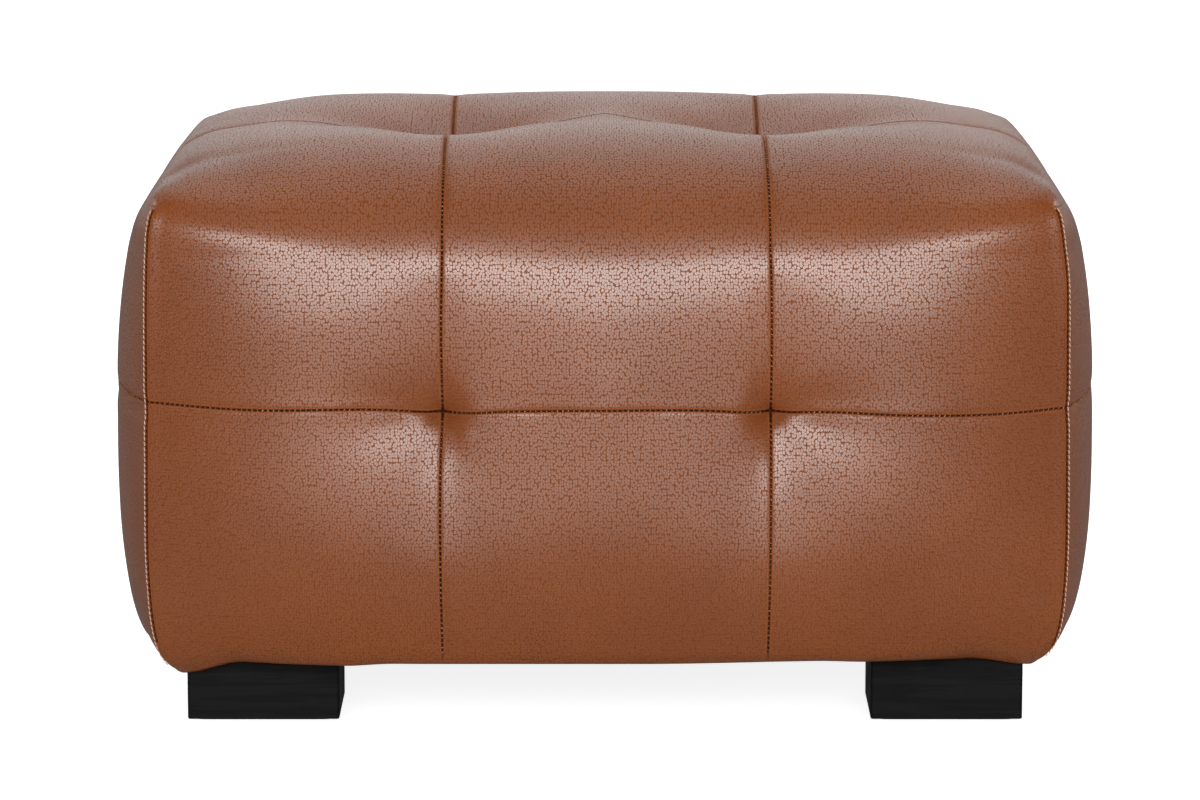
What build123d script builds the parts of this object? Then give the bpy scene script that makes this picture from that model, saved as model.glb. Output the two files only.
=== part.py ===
# A tufted leather footstool on four black block feet.
# Millimetres, +Z up, +X to the right, front towards -Y, origin on the floor under the centre.
from build123d import *
import os

# Overall
stool_width = 810
stool_depth = 610
crown_height = 476

# Feet and what lies under the frame
pad_thickness = 1.5
pad_inset = 5
foot_height = 53.7
foot_width = 125
foot_depth = 95
foot_edge_round = 2.5
foot_overhang = 8
dust_cover_thickness = 0.8
dust_cover_inset = 8

# Leather cover
leather_thickness = 1.4
middle_column_width = 264
mid_seam_height = 266
flange_width = 20

# Form of the cushion: how far it rolls in, stands out of its corners and dips at the seams
shoulder_roll = 100
corner_set_back = 33
tuft_depth = 26
side_tuft_depth = 22

# Form of the top
row_crest_from_middle = 140
top_seam_dip = 4
column_seam_dip = 6
top_tuft_depth = 34
side_crest_drop = 2
end_crest_drop = 34
crest_edge_fall = 52

# Padding
layer_clearance = 0.3
wrap_thickness = 6
lower_edge_padding = 12.3

# Frame
backer_thickness = 3
rail_thickness = 20
rail_height = 60
post_size = 45
seat_deck_height = 366

# Springs and their cover
spring_wire = 3.8
spring_wave = 50
springs_in_middle_column = 3
spring_count = 7
spring_bars = 17
spring_corner_share = 0.48
clip_gauge = 1
clip_length = 16
clip_width = 34
hessian_thickness = 1.2
hessian_inset = 4

# Fasteners
dowel_diameter = 8
dowel_in_long_rail = 14
dowel_in_short_rail = 22
dowel_from_edge = 12
screw_diameter = 4
screw_head_diameter = 8
screw_length = 42
long_rail_screw_from_edge = 12
short_rail_screw_from_edge = 24
bolt_diameter = 8
bolt_in_foot = 32
bolt_in_post = 30
insert_diameter = 13
insert_length = 22
insert_flange_diameter = 19
insert_flange_thickness = 1.5

# Tufts
cord_diameter = 2
cord_hole_diameter = 3.4
knot_diameter = 6
knot_length = 4
anchor_diameter = 30
anchor_thickness = 3

# Staples
staple_crown = 12
staple_wire = 1
staple_leg = 10
staple_spacing = 60
long_edge_staples = 6
short_edge_staples = 4

# How far a cutting tool runs past what it cuts
overrun = 40

# Sections of the cushion, lowest first: its lower half, the wall above the mid-height seam, and the
# shoulder that rolls over into the top. Heights are shares of the half they lie in, below or above
# that seam; the others are shares of shoulder_roll, corner_set_back and the tuft depths.
lower_section_shares = [
    # height, roll, corner, dip
    (0.00, 0.27, 0.90, 0.15),
    (0.12, 0.14, 0.80, 0.15),
    (0.42, 0.03, 0.92, 0.20),
    (0.72, 0.00, 1.00, 0.42),
    (1.00, 0.03, 0.94, 1.00),
]
wall_section_shares = [
    (0.00, 0.03, 0.94, 1.00),
    (0.28, 0.01, 0.96, 0.42),
    (0.57, 0.12, 0.68, 0.22),
]
shoulder_section_shares = [
    (0.57, 0.12, 0.68, 0.22),
    (0.67, 0.19, 0.50, 0.19),
    (0.76, 0.29, 0.33, 0.18),
    (0.86, 0.50, 0.45, 0.18),
    (0.94, 0.90, 0.95, 0.18),
    (1.03, 1.30, 1.40, 0.18),
]

underside = pad_thickness + foot_height + dust_cover_thickness
column_seam = middle_column_width / 2
wrap_inset = leather_thickness + layer_clearance
foam_inset = wrap_inset + wrap_thickness + layer_clearance
frame_bottom = underside + leather_thickness + layer_clearance

# The frame fills the cushion's lowest section, less its padding
lowest_roll = shoulder_roll * lower_section_shares[0][1] + corner_set_back * lower_section_shares[0][2]
half_frame_x = stool_width / 2 - lowest_roll - lower_edge_padding
half_frame_y = stool_depth / 2 - lowest_roll - lower_edge_padding
half_rails_x = half_frame_x - backer_thickness
half_rails_y = half_frame_y - backer_thickness
rail_middle_x = half_rails_x - rail_thickness / 2
rail_middle_y = half_rails_y - rail_thickness / 2
post_x = half_rails_x - rail_thickness - post_size / 2
post_y = half_rails_y - rail_thickness - post_size / 2
top_rail_bottom = seat_deck_height - rail_height
rail_bottoms = {"bottom": frame_bottom, "top": top_rail_bottom}

# The springs lie in their clips on the top rails, under the hessian and the seat foam
spring_axis = seat_deck_height + clip_gauge + spring_wire / 2
spring_spacing = middle_column_width / springs_in_middle_column
hessian_bottom = spring_axis + spring_wire / 2 + clip_gauge + layer_clearance
foam_bottom = hessian_bottom + hessian_thickness + layer_clearance

# Where the cover is deepest at its tufts, on the outside
tuft_roll = shoulder_roll * wall_section_shares[0][1]
tuft_y = stool_depth / 2 - tuft_roll - tuft_depth
tuft_x = stool_width / 2 - tuft_roll - side_tuft_depth
top_tuft_z = crown_height - top_tuft_depth
cord_start = leather_thickness + layer_clearance

# Feet stand a little outside the frame, round the bolts in the corner posts
foot_top = pad_thickness + foot_height
foot_x = half_frame_x + foot_overhang - foot_width / 2
foot_y = half_frame_y + foot_overhang - foot_depth / 2

both_ends = (-1, 1)
os.makedirs("parts", exist_ok=True)


def save(piece, name):
    piece.label = name
    export_step(piece, f"parts/{name}.step")


def mirrored(piece, plane):
    with BuildPart() as other:
        mirror(piece, about=plane)
    return other.part


def side_of(piece, point, direction):
    # What lies beyond a plane through the point, in the direction
    with BuildPart() as half:
        add(piece)
        split(bisect_by=Plane(origin=point, z_dir=direction), keep=Keep.TOP)
    return half.part


def cushion_outline(inset, roll_share, corner_share, dip_share):
    # One level of the cushion: arcs between the corners and the seams, bulging outwards
    crest_x = stool_width / 2 - inset - shoulder_roll * roll_share
    crest_y = stool_depth / 2 - inset - shoulder_roll * roll_share
    corner_x = crest_x - corner_set_back * corner_share
    corner_y = crest_y - corner_set_back * corner_share
    seam_y = crest_y - tuft_depth * dip_share
    seam_x = crest_x - side_tuft_depth * dip_share
    outer_mid_x = (column_seam + corner_x) / 2
    row_mid_y = corner_y / 2
    for side in both_ends:
        front = side * crest_y
        ThreePointArc((-corner_x, side * corner_y), (-outer_mid_x, front), (-column_seam, side * seam_y))
        ThreePointArc((-column_seam, side * seam_y), (0, front), (column_seam, side * seam_y))
        ThreePointArc((column_seam, side * seam_y), (outer_mid_x, front), (corner_x, side * corner_y))
        edge = side * crest_x
        ThreePointArc((side * corner_x, -corner_y), (edge, -row_mid_y), (side * seam_x, 0))
        ThreePointArc((side * seam_x, 0), (edge, row_mid_y), (side * corner_x, corner_y))


def crown_profile(crest, valley):
    # Two rows of the top, each an arc from its crest down to the middle and down to the edge
    far_y = stool_depth / 2 + overrun
    edge = crest - crest_edge_fall
    Polyline((far_y, edge), (far_y, mid_seam_height), (-far_y, mid_seam_height), (-far_y, edge))
    for side in both_ends:
        top = (side * row_crest_from_middle, crest)
        TangentArc(top, (0, valley), tangent=(-side, 0))
        TangentArc(top, (side * far_y, edge), tangent=(side, 0))


def crown_block(inset):
    # The upholstered top of three columns, which dips along its seams and deepest at its two tufts
    crown = crown_height - inset
    far_x = stool_width / 2 + overrun
    seam = (crown - column_seam_dip, crown - top_tuft_depth)
    middle = (crown, crown - top_seam_dip)
    outer = (crown - side_crest_drop, crown - side_crest_drop - top_seam_dip)
    end = (crown - end_crest_drop, crown - end_crest_drop - top_seam_dip)
    outer_mid = (column_seam + stool_width / 2) / 2
    columns = [
        [(-column_seam, seam), (0, middle), (column_seam, seam)],
        [(column_seam, seam), (outer_mid, outer), (far_x, end)],
        [(-far_x, end), (-outer_mid, outer), (-column_seam, seam)],
    ]
    with BuildPart() as block:
        for column in columns:
            for place, heights in column:
                with BuildSketch(Plane.YZ.offset(place)):
                    with BuildLine():
                        crown_profile(*heights)
                    make_face()
            loft()
    return block.part


def cushion(inset):
    # The whole upholstered form, every surface set in by the same amount
    crown = crown_height - inset
    top = crown_block(inset)
    upper_half = (mid_seam_height, crown - mid_seam_height)
    lower_half = (underside, mid_seam_height - underside)
    with BuildPart() as form:
        for (bottom, height), sections in (
            (upper_half, shoulder_section_shares),
            (upper_half, wall_section_shares),
            (lower_half, lower_section_shares),
        ):
            for height_share, *shares in sections:
                with BuildSketch(Plane.XY.offset(bottom + height * height_share)):
                    with BuildLine():
                        cushion_outline(inset, *shares)
                    make_face()
            loft()
            if sections is shoulder_section_shares:
                add(top, mode=Mode.INTERSECT)
    return form.part


# Cords run from the cover at each tuft to an anchor disc behind the backer or under the hessian
front_tufts = [
    Plane(origin=(x_side * column_seam, y_side * tuft_y, mid_seam_height), z_dir=(0, -y_side, 0))
    for x_side in both_ends
    for y_side in both_ends
]
side_tufts = [
    Plane(origin=(x_side * tuft_x, 0, mid_seam_height), z_dir=(-x_side, 0, 0)) for x_side in both_ends
]
top_tufts = [Plane(origin=(x_side * column_seam, 0, top_tuft_z), z_dir=(0, 0, -1)) for x_side in both_ends]
tuft_runs = (
    [(plane, tuft_y - half_rails_y) for plane in front_tufts]
    + [(plane, tuft_x - half_rails_x) for plane in side_tufts]
    + [(plane, top_tuft_z - hessian_bottom) for plane in top_tufts]
)

with BuildPart() as cord_holes:
    for plane, run in tuft_runs:
        with BuildSketch(plane):
            Circle(cord_hole_diameter / 2)
        extrude(amount=run)

with BuildPart() as tuft_anchors:
    for plane, run in tuft_runs:
        with BuildSketch(plane.offset(run)):
            Circle(anchor_diameter / 2)
            Circle(cord_diameter / 2, mode=Mode.SUBTRACT)
        extrude(amount=anchor_thickness)
save(tuft_anchors.part, "tuft_anchors")

with BuildPart() as tuft_cords:
    for plane, run in tuft_runs:
        with BuildSketch(plane.offset(cord_start)):
            Circle(cord_diameter / 2)
        extrude(amount=run + anchor_thickness - cord_start)
        with BuildSketch(plane.offset(run + anchor_thickness)):
            Circle(knot_diameter / 2)
        extrude(amount=knot_length)
save(tuft_cords.part, "tuft_cords")

# Staples go up through the dust cover and the cover's turned-under edge into the bottom rails
with BuildPart() as one_staple:
    with BuildSketch(Plane.XY.offset(foot_top)):
        Rectangle(staple_crown, staple_wire)
    extrude(amount=-staple_wire)
    with BuildSketch(Plane.XY.offset(foot_top)):
        with GridLocations(staple_crown - staple_wire, 0, 2, 1):
            Rectangle(staple_wire, staple_wire)
    extrude(amount=staple_leg)

long_edge_places = GridLocations(staple_spacing, 2 * rail_middle_y, long_edge_staples, 2).locations
short_edge_places = [
    Location((place.position.X, place.position.Y, 0), (0, 0, 90))
    for place in GridLocations(2 * rail_middle_x, staple_spacing, 2, short_edge_staples).locations
]
with BuildPart() as cover_staples:
    with Locations(*long_edge_places, *short_edge_places):
        add(one_staple.part)
save(cover_staples.part, "cover_staples")

# Leather: one shell, open underneath inside its turned-under edge, cut into panels along the seams
with BuildPart() as leather_room:
    add(cushion(leather_thickness))
    with BuildSketch(Plane.XY.offset(underside + leather_thickness)):
        Rectangle(stool_width, stool_depth)
    extrude(amount=-overrun, mode=Mode.SUBTRACT)

with BuildPart() as leather:
    add(cushion(0))
    add(leather_room.part, mode=Mode.SUBTRACT)
    with BuildSketch(Plane.XY.offset(underside)):
        Rectangle(2 * (half_frame_x - flange_width), 2 * (half_frame_y - flange_width))
    extrude(amount=overrun, mode=Mode.SUBTRACT)
    add(cover_staples.part, mode=Mode.SUBTRACT)

mid_point = (0, 0, mid_seam_height)
left_seam = (-column_seam, 0, 0)
right_seam = (column_seam, 0, 0)
left_diagonal = (-(stool_width - stool_depth) / 2, 0, 0)
right_diagonal = ((stool_width - stool_depth) / 2, 0, 0)

front_leather = side_of(leather.part, (0, 0, 0), (0, -1, 0))
upper_front = side_of(front_leather, mid_point, (0, 0, 1))
lower_front = side_of(front_leather, mid_point, (0, 0, -1))
lower_front_left = side_of(lower_front, left_seam, (-1, 0, 0))

upper_corner_panel = side_of(upper_front, left_seam, (-1, 0, 0))
upper_middle_panel = side_of(side_of(upper_front, left_seam, (1, 0, 0)), right_seam, (-1, 0, 0))
lower_middle_panel = side_of(side_of(lower_front, left_seam, (1, 0, 0)), right_seam, (-1, 0, 0))
lower_front_panel = side_of(lower_front_left, left_diagonal, (1, -1, 0))
lower_side_panel = side_of(lower_front_left, left_diagonal, (-1, 1, 0))


def save_in_each_corner(front_left_piece, name):
    # The piece of the front left corner and its three mirror images, named by row and side
    front_right_piece = mirrored(front_left_piece, Plane.YZ)
    save(front_left_piece, name.format(row="front", side="left"))
    save(front_right_piece, name.format(row="front", side="right"))
    save(mirrored(front_left_piece, Plane.XZ), name.format(row="back", side="left"))
    save(mirrored(front_right_piece, Plane.XZ), name.format(row="back", side="right"))


def save_front_and_back(front_piece, name):
    save(front_piece, name.format(row="front"))
    save(mirrored(front_piece, Plane.XZ), name.format(row="back"))


def save_left_and_right(left_piece, name):
    save(left_piece, name.format(side="left"))
    save(mirrored(left_piece, Plane.YZ), name.format(side="right"))


save_in_each_corner(upper_corner_panel, "upper_panel_{row}_{side}")
save_front_and_back(upper_middle_panel, "upper_panel_{row}_middle")
save_front_and_back(lower_middle_panel, "lower_panel_{row}_middle")
save_in_each_corner(lower_front_panel, "lower_panel_{row}_{side}")
save_in_each_corner(lower_side_panel, "lower_panel_{side}_{row}")

# Padding: a fibre wrap under the leather, then foam, with holes for the tuft cords
with BuildPart() as fibre_wrap:
    add(cushion(wrap_inset))
    add(cushion(wrap_inset + wrap_thickness), mode=Mode.SUBTRACT)
    with BuildSketch(Plane.XY.offset(frame_bottom)):
        Rectangle(stool_width + overrun, stool_depth + overrun)
    extrude(amount=-overrun, mode=Mode.SUBTRACT)
    add(cord_holes.part, mode=Mode.SUBTRACT)
save(fibre_wrap.part, "fibre_wrap")

with BuildPart() as foam:
    add(cushion(foam_inset))
    with BuildSketch(Plane.XY.offset(frame_bottom)):
        Rectangle(stool_width, stool_depth)
    extrude(amount=-overrun, mode=Mode.SUBTRACT)
    with BuildSketch(Plane.XY.offset(frame_bottom)):
        Rectangle(2 * half_frame_x, 2 * half_frame_y)
    extrude(amount=foam_bottom - frame_bottom, mode=Mode.SUBTRACT)
    add(cord_holes.part, mode=Mode.SUBTRACT)

deck_point = (0, 0, foam_bottom)
save(side_of(foam.part, deck_point, (0, 0, 1)), "top_foam")
side_foam = side_of(foam.part, deck_point, (0, 0, -1))
front_foam = side_of(side_of(side_foam, left_diagonal, (1, -1, 0)), right_diagonal, (-1, -1, 0))
left_foam = side_of(side_of(side_foam, left_diagonal, (-1, 1, 0)), left_diagonal, (-1, -1, 0))
save_front_and_back(front_foam, "{row}_foam")
save_left_and_right(left_foam, "{side}_foam")

# Hessian over the springs, its edges short of the backers
with BuildPart() as spring_cover:
    with BuildSketch(Plane.XY.offset(hessian_bottom)):
        Rectangle(2 * (half_rails_x - hessian_inset), 2 * (half_rails_y - hessian_inset))
    extrude(amount=hessian_thickness)
    add(cord_holes.part, mode=Mode.SUBTRACT)
save(spring_cover.part, "spring_cover")

# Zigzag springs, whose end bars lie in clips on the front and back top rails
spring_step = 2 * rail_middle_y / (spring_bars - 1)
spring_points = [
    (turn * spring_wave / 2, -rail_middle_y + bar * spring_step)
    for bar in range(spring_bars)
    for turn in ((-1, 1) if bar % 2 == 0 else (1, -1))
]
with BuildPart() as one_spring:
    with BuildLine(Plane.XY.offset(spring_axis)) as spring_path:
        FilletPolyline(*spring_points, radius=spring_step * spring_corner_share)
    with BuildSketch(Plane(origin=spring_path.line @ 0, z_dir=spring_path.line % 0)):
        Circle(spring_wire / 2)
    sweep()

with BuildPart() as zigzag_springs:
    with GridLocations(spring_spacing, 0, spring_count, 1):
        add(one_spring.part)
save(zigzag_springs.part, "zigzag_springs")

# A clip is a strip folded over the spring's end bar, open towards the middle
clip_fold = rail_middle_y + spring_wire / 2
with BuildPart() as front_clip:
    with BuildSketch(Plane.YZ.offset(-clip_width / 2)):
        with BuildLine():
            Polyline(
                (-clip_fold + clip_length, seat_deck_height),
                (-clip_fold - clip_gauge, seat_deck_height),
                (-clip_fold - clip_gauge, spring_axis + spring_wire / 2 + clip_gauge),
                (-rail_middle_y, spring_axis + spring_wire / 2 + clip_gauge),
                (-rail_middle_y, spring_axis + spring_wire / 2),
                (-clip_fold, spring_axis + spring_wire / 2),
                (-clip_fold, spring_axis - spring_wire / 2),
                (-clip_fold + clip_length, spring_axis - spring_wire / 2),
                close=True,
            )
        make_face()
    extrude(amount=clip_width)

with BuildPart() as spring_clips:
    with GridLocations(spring_spacing, 0, spring_count, 1):
        add(front_clip.part)
    mirror(about=Plane.XZ)
save(spring_clips.part, "spring_clips")

# Dowels join the ends of the short rails to the long ones, at both heights
dowel_face = half_rails_y - rail_thickness
dowel_heights = [
    bottom + lift for bottom in rail_bottoms.values() for lift in (dowel_from_edge, rail_height - dowel_from_edge)
]
with BuildPart() as frame_dowels:
    for height in dowel_heights:
        for y_side in both_ends:
            dowel_end = Plane(
                origin=(0, y_side * (dowel_face + dowel_in_long_rail), height),
                x_dir=(1, 0, 0),
                z_dir=(0, -y_side, 0),
            )
            with BuildSketch(dowel_end):
                with GridLocations(2 * rail_middle_x, 0, 2, 1):
                    Circle(dowel_diameter / 2)
            extrude(amount=dowel_in_long_rail + dowel_in_short_rail)
save(frame_dowels.part, "frame_dowels")

# Countersunk screws hold the rails to the corner posts, off their middle to clear the foot bolts
with BuildPart() as one_screw:
    with BuildSketch(Plane.XZ):
        with BuildLine():
            Polyline(
                (0, 0),
                (screw_head_diameter / 2, 0),
                (screw_diameter / 2, -(screw_head_diameter - screw_diameter) / 2),
                (screw_diameter / 2, screw_diameter - screw_length),
                (0, -screw_length),
                close=True,
            )
        make_face()
    revolve(axis=Axis.Z)

screw_shift = post_size / 4
screw_planes = []
for x_side in both_ends:
    for y_side in both_ends:
        for bottom in rail_bottoms.values():
            for edge in both_ends:
                rail_middle = bottom + rail_height / 2
                long_lift = edge * (rail_height / 2 - long_rail_screw_from_edge)
                short_lift = edge * (rail_height / 2 - short_rail_screw_from_edge)
                long_place = (x_side * (post_x + screw_shift), y_side * half_rails_y, rail_middle + long_lift)
                short_place = (x_side * half_rails_x, y_side * (post_y + screw_shift), rail_middle + short_lift)
                screw_planes.append(Plane(origin=long_place, z_dir=(0, y_side, 0)))
                screw_planes.append(Plane(origin=short_place, z_dir=(x_side, 0, 0)))
with BuildPart() as frame_screws:
    for plane in screw_planes:
        add(plane.location * one_screw.part)
save(frame_screws.part, "frame_screws")

# Threaded inserts in the feet of the corner posts, and the hanger bolts that join the feet to them
post_places = GridLocations(2 * post_x, 2 * post_y, 2, 2)
with BuildPart() as foot_bolts:
    with BuildSketch(Plane.XY.offset(foot_top - bolt_in_foot)):
        with post_places:
            Circle(bolt_diameter / 2)
    extrude(amount=bolt_in_foot + frame_bottom - foot_top + bolt_in_post)
save(foot_bolts.part, "foot_bolts")

with BuildPart() as insert_bodies:
    with BuildSketch(Plane.XY.offset(frame_bottom)):
        with post_places:
            Circle(insert_flange_diameter / 2)
    extrude(amount=insert_flange_thickness)
    with BuildSketch(Plane.XY.offset(frame_bottom)):
        with post_places:
            Circle(insert_diameter / 2)
    extrude(amount=insert_length)

with BuildPart() as foot_inserts:
    add(insert_bodies.part)
    add(foot_bolts.part, mode=Mode.SUBTRACT)
save(foot_inserts.part, "foot_inserts")

# Frame: long rails at front and back, short ones between them, a post inside each corner
for level, bottom in rail_bottoms.items():
    with BuildPart() as long_rail:
        with BuildSketch(Plane.XY.offset(bottom)):
            with Locations((0, -rail_middle_y)):
                Rectangle(2 * half_rails_x, rail_thickness)
        extrude(amount=rail_height)
        for fastener in (frame_dowels, frame_screws, cover_staples):
            add(fastener.part, mode=Mode.SUBTRACT)
    with BuildPart() as short_rail:
        with BuildSketch(Plane.XY.offset(bottom)):
            with Locations((-rail_middle_x, 0)):
                Rectangle(rail_thickness, 2 * dowel_face)
        extrude(amount=rail_height)
        for fastener in (frame_dowels, frame_screws, cover_staples):
            add(fastener.part, mode=Mode.SUBTRACT)
    save_front_and_back(long_rail.part, level + "_rail_{row}")
    save_left_and_right(short_rail.part, level + "_rail_{side}")

with BuildPart() as corner_post:
    with BuildSketch(Plane.XY.offset(frame_bottom)):
        with Locations((-post_x, -post_y)):
            Rectangle(post_size, post_size)
    extrude(amount=seat_deck_height - frame_bottom)
    for fastener in (frame_screws, insert_bodies, foot_bolts):
        add(fastener.part, mode=Mode.SUBTRACT)
save_in_each_corner(corner_post.part, "corner_post_{row}_{side}")

# Hardboard backers on the outside of the frame, under the side foam
with BuildPart() as front_backer:
    with BuildSketch(Plane.XY.offset(frame_bottom)):
        with Locations((0, -half_rails_y - backer_thickness / 2)):
            Rectangle(2 * half_frame_x, backer_thickness)
    extrude(amount=seat_deck_height - frame_bottom)
    add(cord_holes.part, mode=Mode.SUBTRACT)
with BuildPart() as left_backer:
    with BuildSketch(Plane.XY.offset(frame_bottom)):
        with Locations((-half_rails_x - backer_thickness / 2, 0)):
            Rectangle(backer_thickness, 2 * half_rails_y)
    extrude(amount=seat_deck_height - frame_bottom)
    add(cord_holes.part, mode=Mode.SUBTRACT)
save_front_and_back(front_backer.part, "backer_{row}")
save_left_and_right(left_backer.part, "backer_{side}")

# Dust cover, over the leather's turned-under edge and above the feet
with BuildPart() as dust_cover:
    with BuildSketch(Plane.XY.offset(foot_top)):
        Rectangle(2 * (half_frame_x - dust_cover_inset), 2 * (half_frame_y - dust_cover_inset))
        with post_places:
            Circle(bolt_diameter / 2, mode=Mode.SUBTRACT)
    extrude(amount=dust_cover_thickness)
    add(cover_staples.part, mode=Mode.SUBTRACT)
save(dust_cover.part, "dust_cover")

# Feet with eased edges, and felt pads under them
with BuildPart() as foot:
    with BuildSketch(Plane.XY.offset(pad_thickness)):
        with Locations((-foot_x, -foot_y)):
            Rectangle(foot_width, foot_depth)
    extrude(amount=foot_height)
    fillet(foot.edges().filter_by(Axis.Z), foot_edge_round)
    fillet(foot.faces().sort_by(Axis.Z)[0].edges(), foot_edge_round / 2)
    add(foot_bolts.part, mode=Mode.SUBTRACT)
save_in_each_corner(foot.part, "foot_{row}_{side}")

with BuildPart() as foot_pads:
    with BuildSketch():
        with GridLocations(2 * foot_x, 2 * foot_y, 2, 2):
            Rectangle(foot_width - 2 * pad_inset, foot_depth - 2 * pad_inset)
    extrude(amount=pad_thickness)
save(foot_pads.part, "foot_pads")
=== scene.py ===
import math
from itertools import product
import bpy
import numpy as np
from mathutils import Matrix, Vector


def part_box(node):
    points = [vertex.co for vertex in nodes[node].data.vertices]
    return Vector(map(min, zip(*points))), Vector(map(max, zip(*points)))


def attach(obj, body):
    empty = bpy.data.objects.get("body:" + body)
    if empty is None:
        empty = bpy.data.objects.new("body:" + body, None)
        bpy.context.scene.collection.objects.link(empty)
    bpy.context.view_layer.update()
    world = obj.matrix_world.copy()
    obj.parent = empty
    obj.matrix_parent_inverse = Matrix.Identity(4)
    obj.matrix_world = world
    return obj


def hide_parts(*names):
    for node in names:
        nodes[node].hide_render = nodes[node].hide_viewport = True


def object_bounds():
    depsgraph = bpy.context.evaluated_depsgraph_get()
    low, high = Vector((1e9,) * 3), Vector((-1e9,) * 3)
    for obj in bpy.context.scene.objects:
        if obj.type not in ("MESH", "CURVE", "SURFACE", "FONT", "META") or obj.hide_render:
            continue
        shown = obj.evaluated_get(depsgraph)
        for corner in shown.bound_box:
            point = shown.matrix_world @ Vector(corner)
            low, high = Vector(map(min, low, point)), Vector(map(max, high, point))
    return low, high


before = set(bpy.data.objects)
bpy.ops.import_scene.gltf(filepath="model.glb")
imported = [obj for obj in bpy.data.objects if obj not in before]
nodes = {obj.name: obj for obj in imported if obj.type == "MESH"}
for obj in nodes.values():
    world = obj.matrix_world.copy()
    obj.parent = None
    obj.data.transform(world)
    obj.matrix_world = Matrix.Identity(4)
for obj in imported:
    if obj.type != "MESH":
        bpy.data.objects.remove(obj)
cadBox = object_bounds()
print("frame loaded with", len(nodes), "nodes")

# Everything below is worked out in millimetres and turned into metres where a mesh is made
millimetre = 0.001


def nodeBox(name):
    low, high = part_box(name)
    return np.array(low) / millimetre, np.array(high) / millimetre


# The form of the cover
coverForm = {
    "depthInset": 100,  # half the depth is this much less than half the width
    "flatShare": 0.35,  # of each half of a wall, before it turns in towards its corner seam
    "turnPower": (2.6, 6),  # up the wall, and at its upper end
    "turnFrom": 388,
    # height, half width at the middle of a wall, half width at its corner seam
    "wall": [
        (66, 391.5, 357), (75, 394.3, 363), (84, 396.8, 366.5), (94, 399, 368.8), (120, 403.2, 371.5),
        (146, 406, 372.5), (184, 407.8, 372.5), (230, 408.2, 372), (277, 408, 371.7), (311, 406, 371.4),
        (349, 402, 371), (374, 398, 370.4), (387, 395.5, 370), (399, 391.5, 369.4), (412, 386, 368.4),
        (424, 378.5, 366), (431, 372, 363.5),
    ],
    # the turned-under edge, from its inner edge outwards: half width, corner half width, height, share of the sag
    "hem": [
        (316, 316, 56.5, 0.0), (340, 335.5, 56.4, 0.0), (362, 345.0, 56.3, 0.0), (377, 346.2, 56.2, 0.6),
        (384.5, 347.8, 57.5, 1.0), (388.4, 351.5, 61, 1.0),
    ],
    # distance from the middle of the top, drop below the crown across its width, drop across its depth
    "shoulder": [
        (0, 0, 0), (60, 0.2, 0), (132, 1.5, 0.3), (200, 3.2, 1.2), (265, 6.6, 5.0), (310, 13, 13.4),
        (340, 19.5, 23), (354, 26, 31), (363, 33, 39.5), (372, 43.5, 47.5), (384, 64, 64.5),
    ],
    "shoulderPower": 4,  # how squarely the two drops meet
    "crownLift": 2.5,
    "domeDrop": 7.4,  # the outer cushions of the top fall away to the front and the back
    "domeRise": (12, 7),  # it comes in over this drop across the width and across the depth
    "domeFade": (20, 24),  # from and over which drop it goes again
    "cornerSag": 12,
    "footSag": 1.9,  # where the cover hangs over the feet
    "leftSag": 1.3,
    "rightSag": 0.95,
    "rightLift": (3.2, 30, 170),  # the hem runs higher on the right: how much, from and over which x
    "sagReach": 52,  # along the hem, from each corner
    "footReach": (175, 40),  # from each corner, and over how much it comes in
    "sagFade": (60, 70),  # from and over which height it goes, up the wall
    "lowerRows": 22,
    "upperRows": 19,
    "halfTopRows": 29,
    "outerColumns": 25,
    "middleColumns": 28,
    "columnCrowding": 0.94,  # towards the corners
    "softEdge": (3, 0.5, 0.1, 4),  # rows beside the shoulder's edge, share there, its fall by row, rounds
}

midLow, midHigh = nodeBox("upper_panel_front_middle")
seamX = midHigh[0]
seamZ = midLow[2]
crown = cadBox[1].z / millimetre + coverForm["crownLift"]
underside = nodeBox("lower_panel_front_middle")[0][2]
edgeZ = coverForm["wall"][-1][0]


def smoothCurve(knots, column, at):
    # a smooth curve through the knots' values, read at some places
    xs = np.array([k[0] for k in knots], float)
    ys = np.array([k[column] for k in knots], float)
    slopes = np.gradient(ys, xs)
    at = np.clip(np.asarray(at, float), xs[0], xs[-1])
    i = np.clip(np.searchsorted(xs, at) - 1, 0, len(xs) - 2)
    span = xs[i + 1] - xs[i]
    t = (at - xs[i]) / span
    a, b = slopes[i] * span, slopes[i + 1] * span
    return (
        (2 * t**3 - 3 * t**2 + 1) * ys[i] + (t**3 - 2 * t**2 + t) * a
        + (3 * t**2 - 2 * t**3) * ys[i + 1] + (t**3 - t**2) * b
    )


def easeIn(t):
    t = np.clip(t, 0, 1)
    return t * t * (3 - 2 * t)


def hump(at, middle, reach):
    # 1 at the middle, fading away on both sides
    return np.exp(-(((at - middle) / reach) ** 2))


def evenAlong(places, values, count):
    # places along a curve that cut it into pieces of even length
    lengths = np.concatenate([[0], np.cumsum(np.hypot(np.diff(places), np.diff(values)))])
    return np.interp(np.linspace(0, lengths[-1], count + 1), lengths, places)


fineZ = np.linspace(coverForm["wall"][0][0], edgeZ, 400)
fineHalf = smoothCurve(coverForm["wall"], 1, fineZ)
belowSeam = fineZ <= seamZ
lowerZ = evenAlong(fineZ[belowSeam], fineHalf[belowSeam], coverForm["lowerRows"])
lowerZ[-1] = seamZ
aboveSeam = np.concatenate([[seamZ], fineZ[~belowSeam]])
halfAbove = np.concatenate([[fineHalf[belowSeam][-1]], fineHalf[~belowSeam]])
upperZ = evenAlong(aboveSeam, halfAbove, coverForm["upperRows"])

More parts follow.
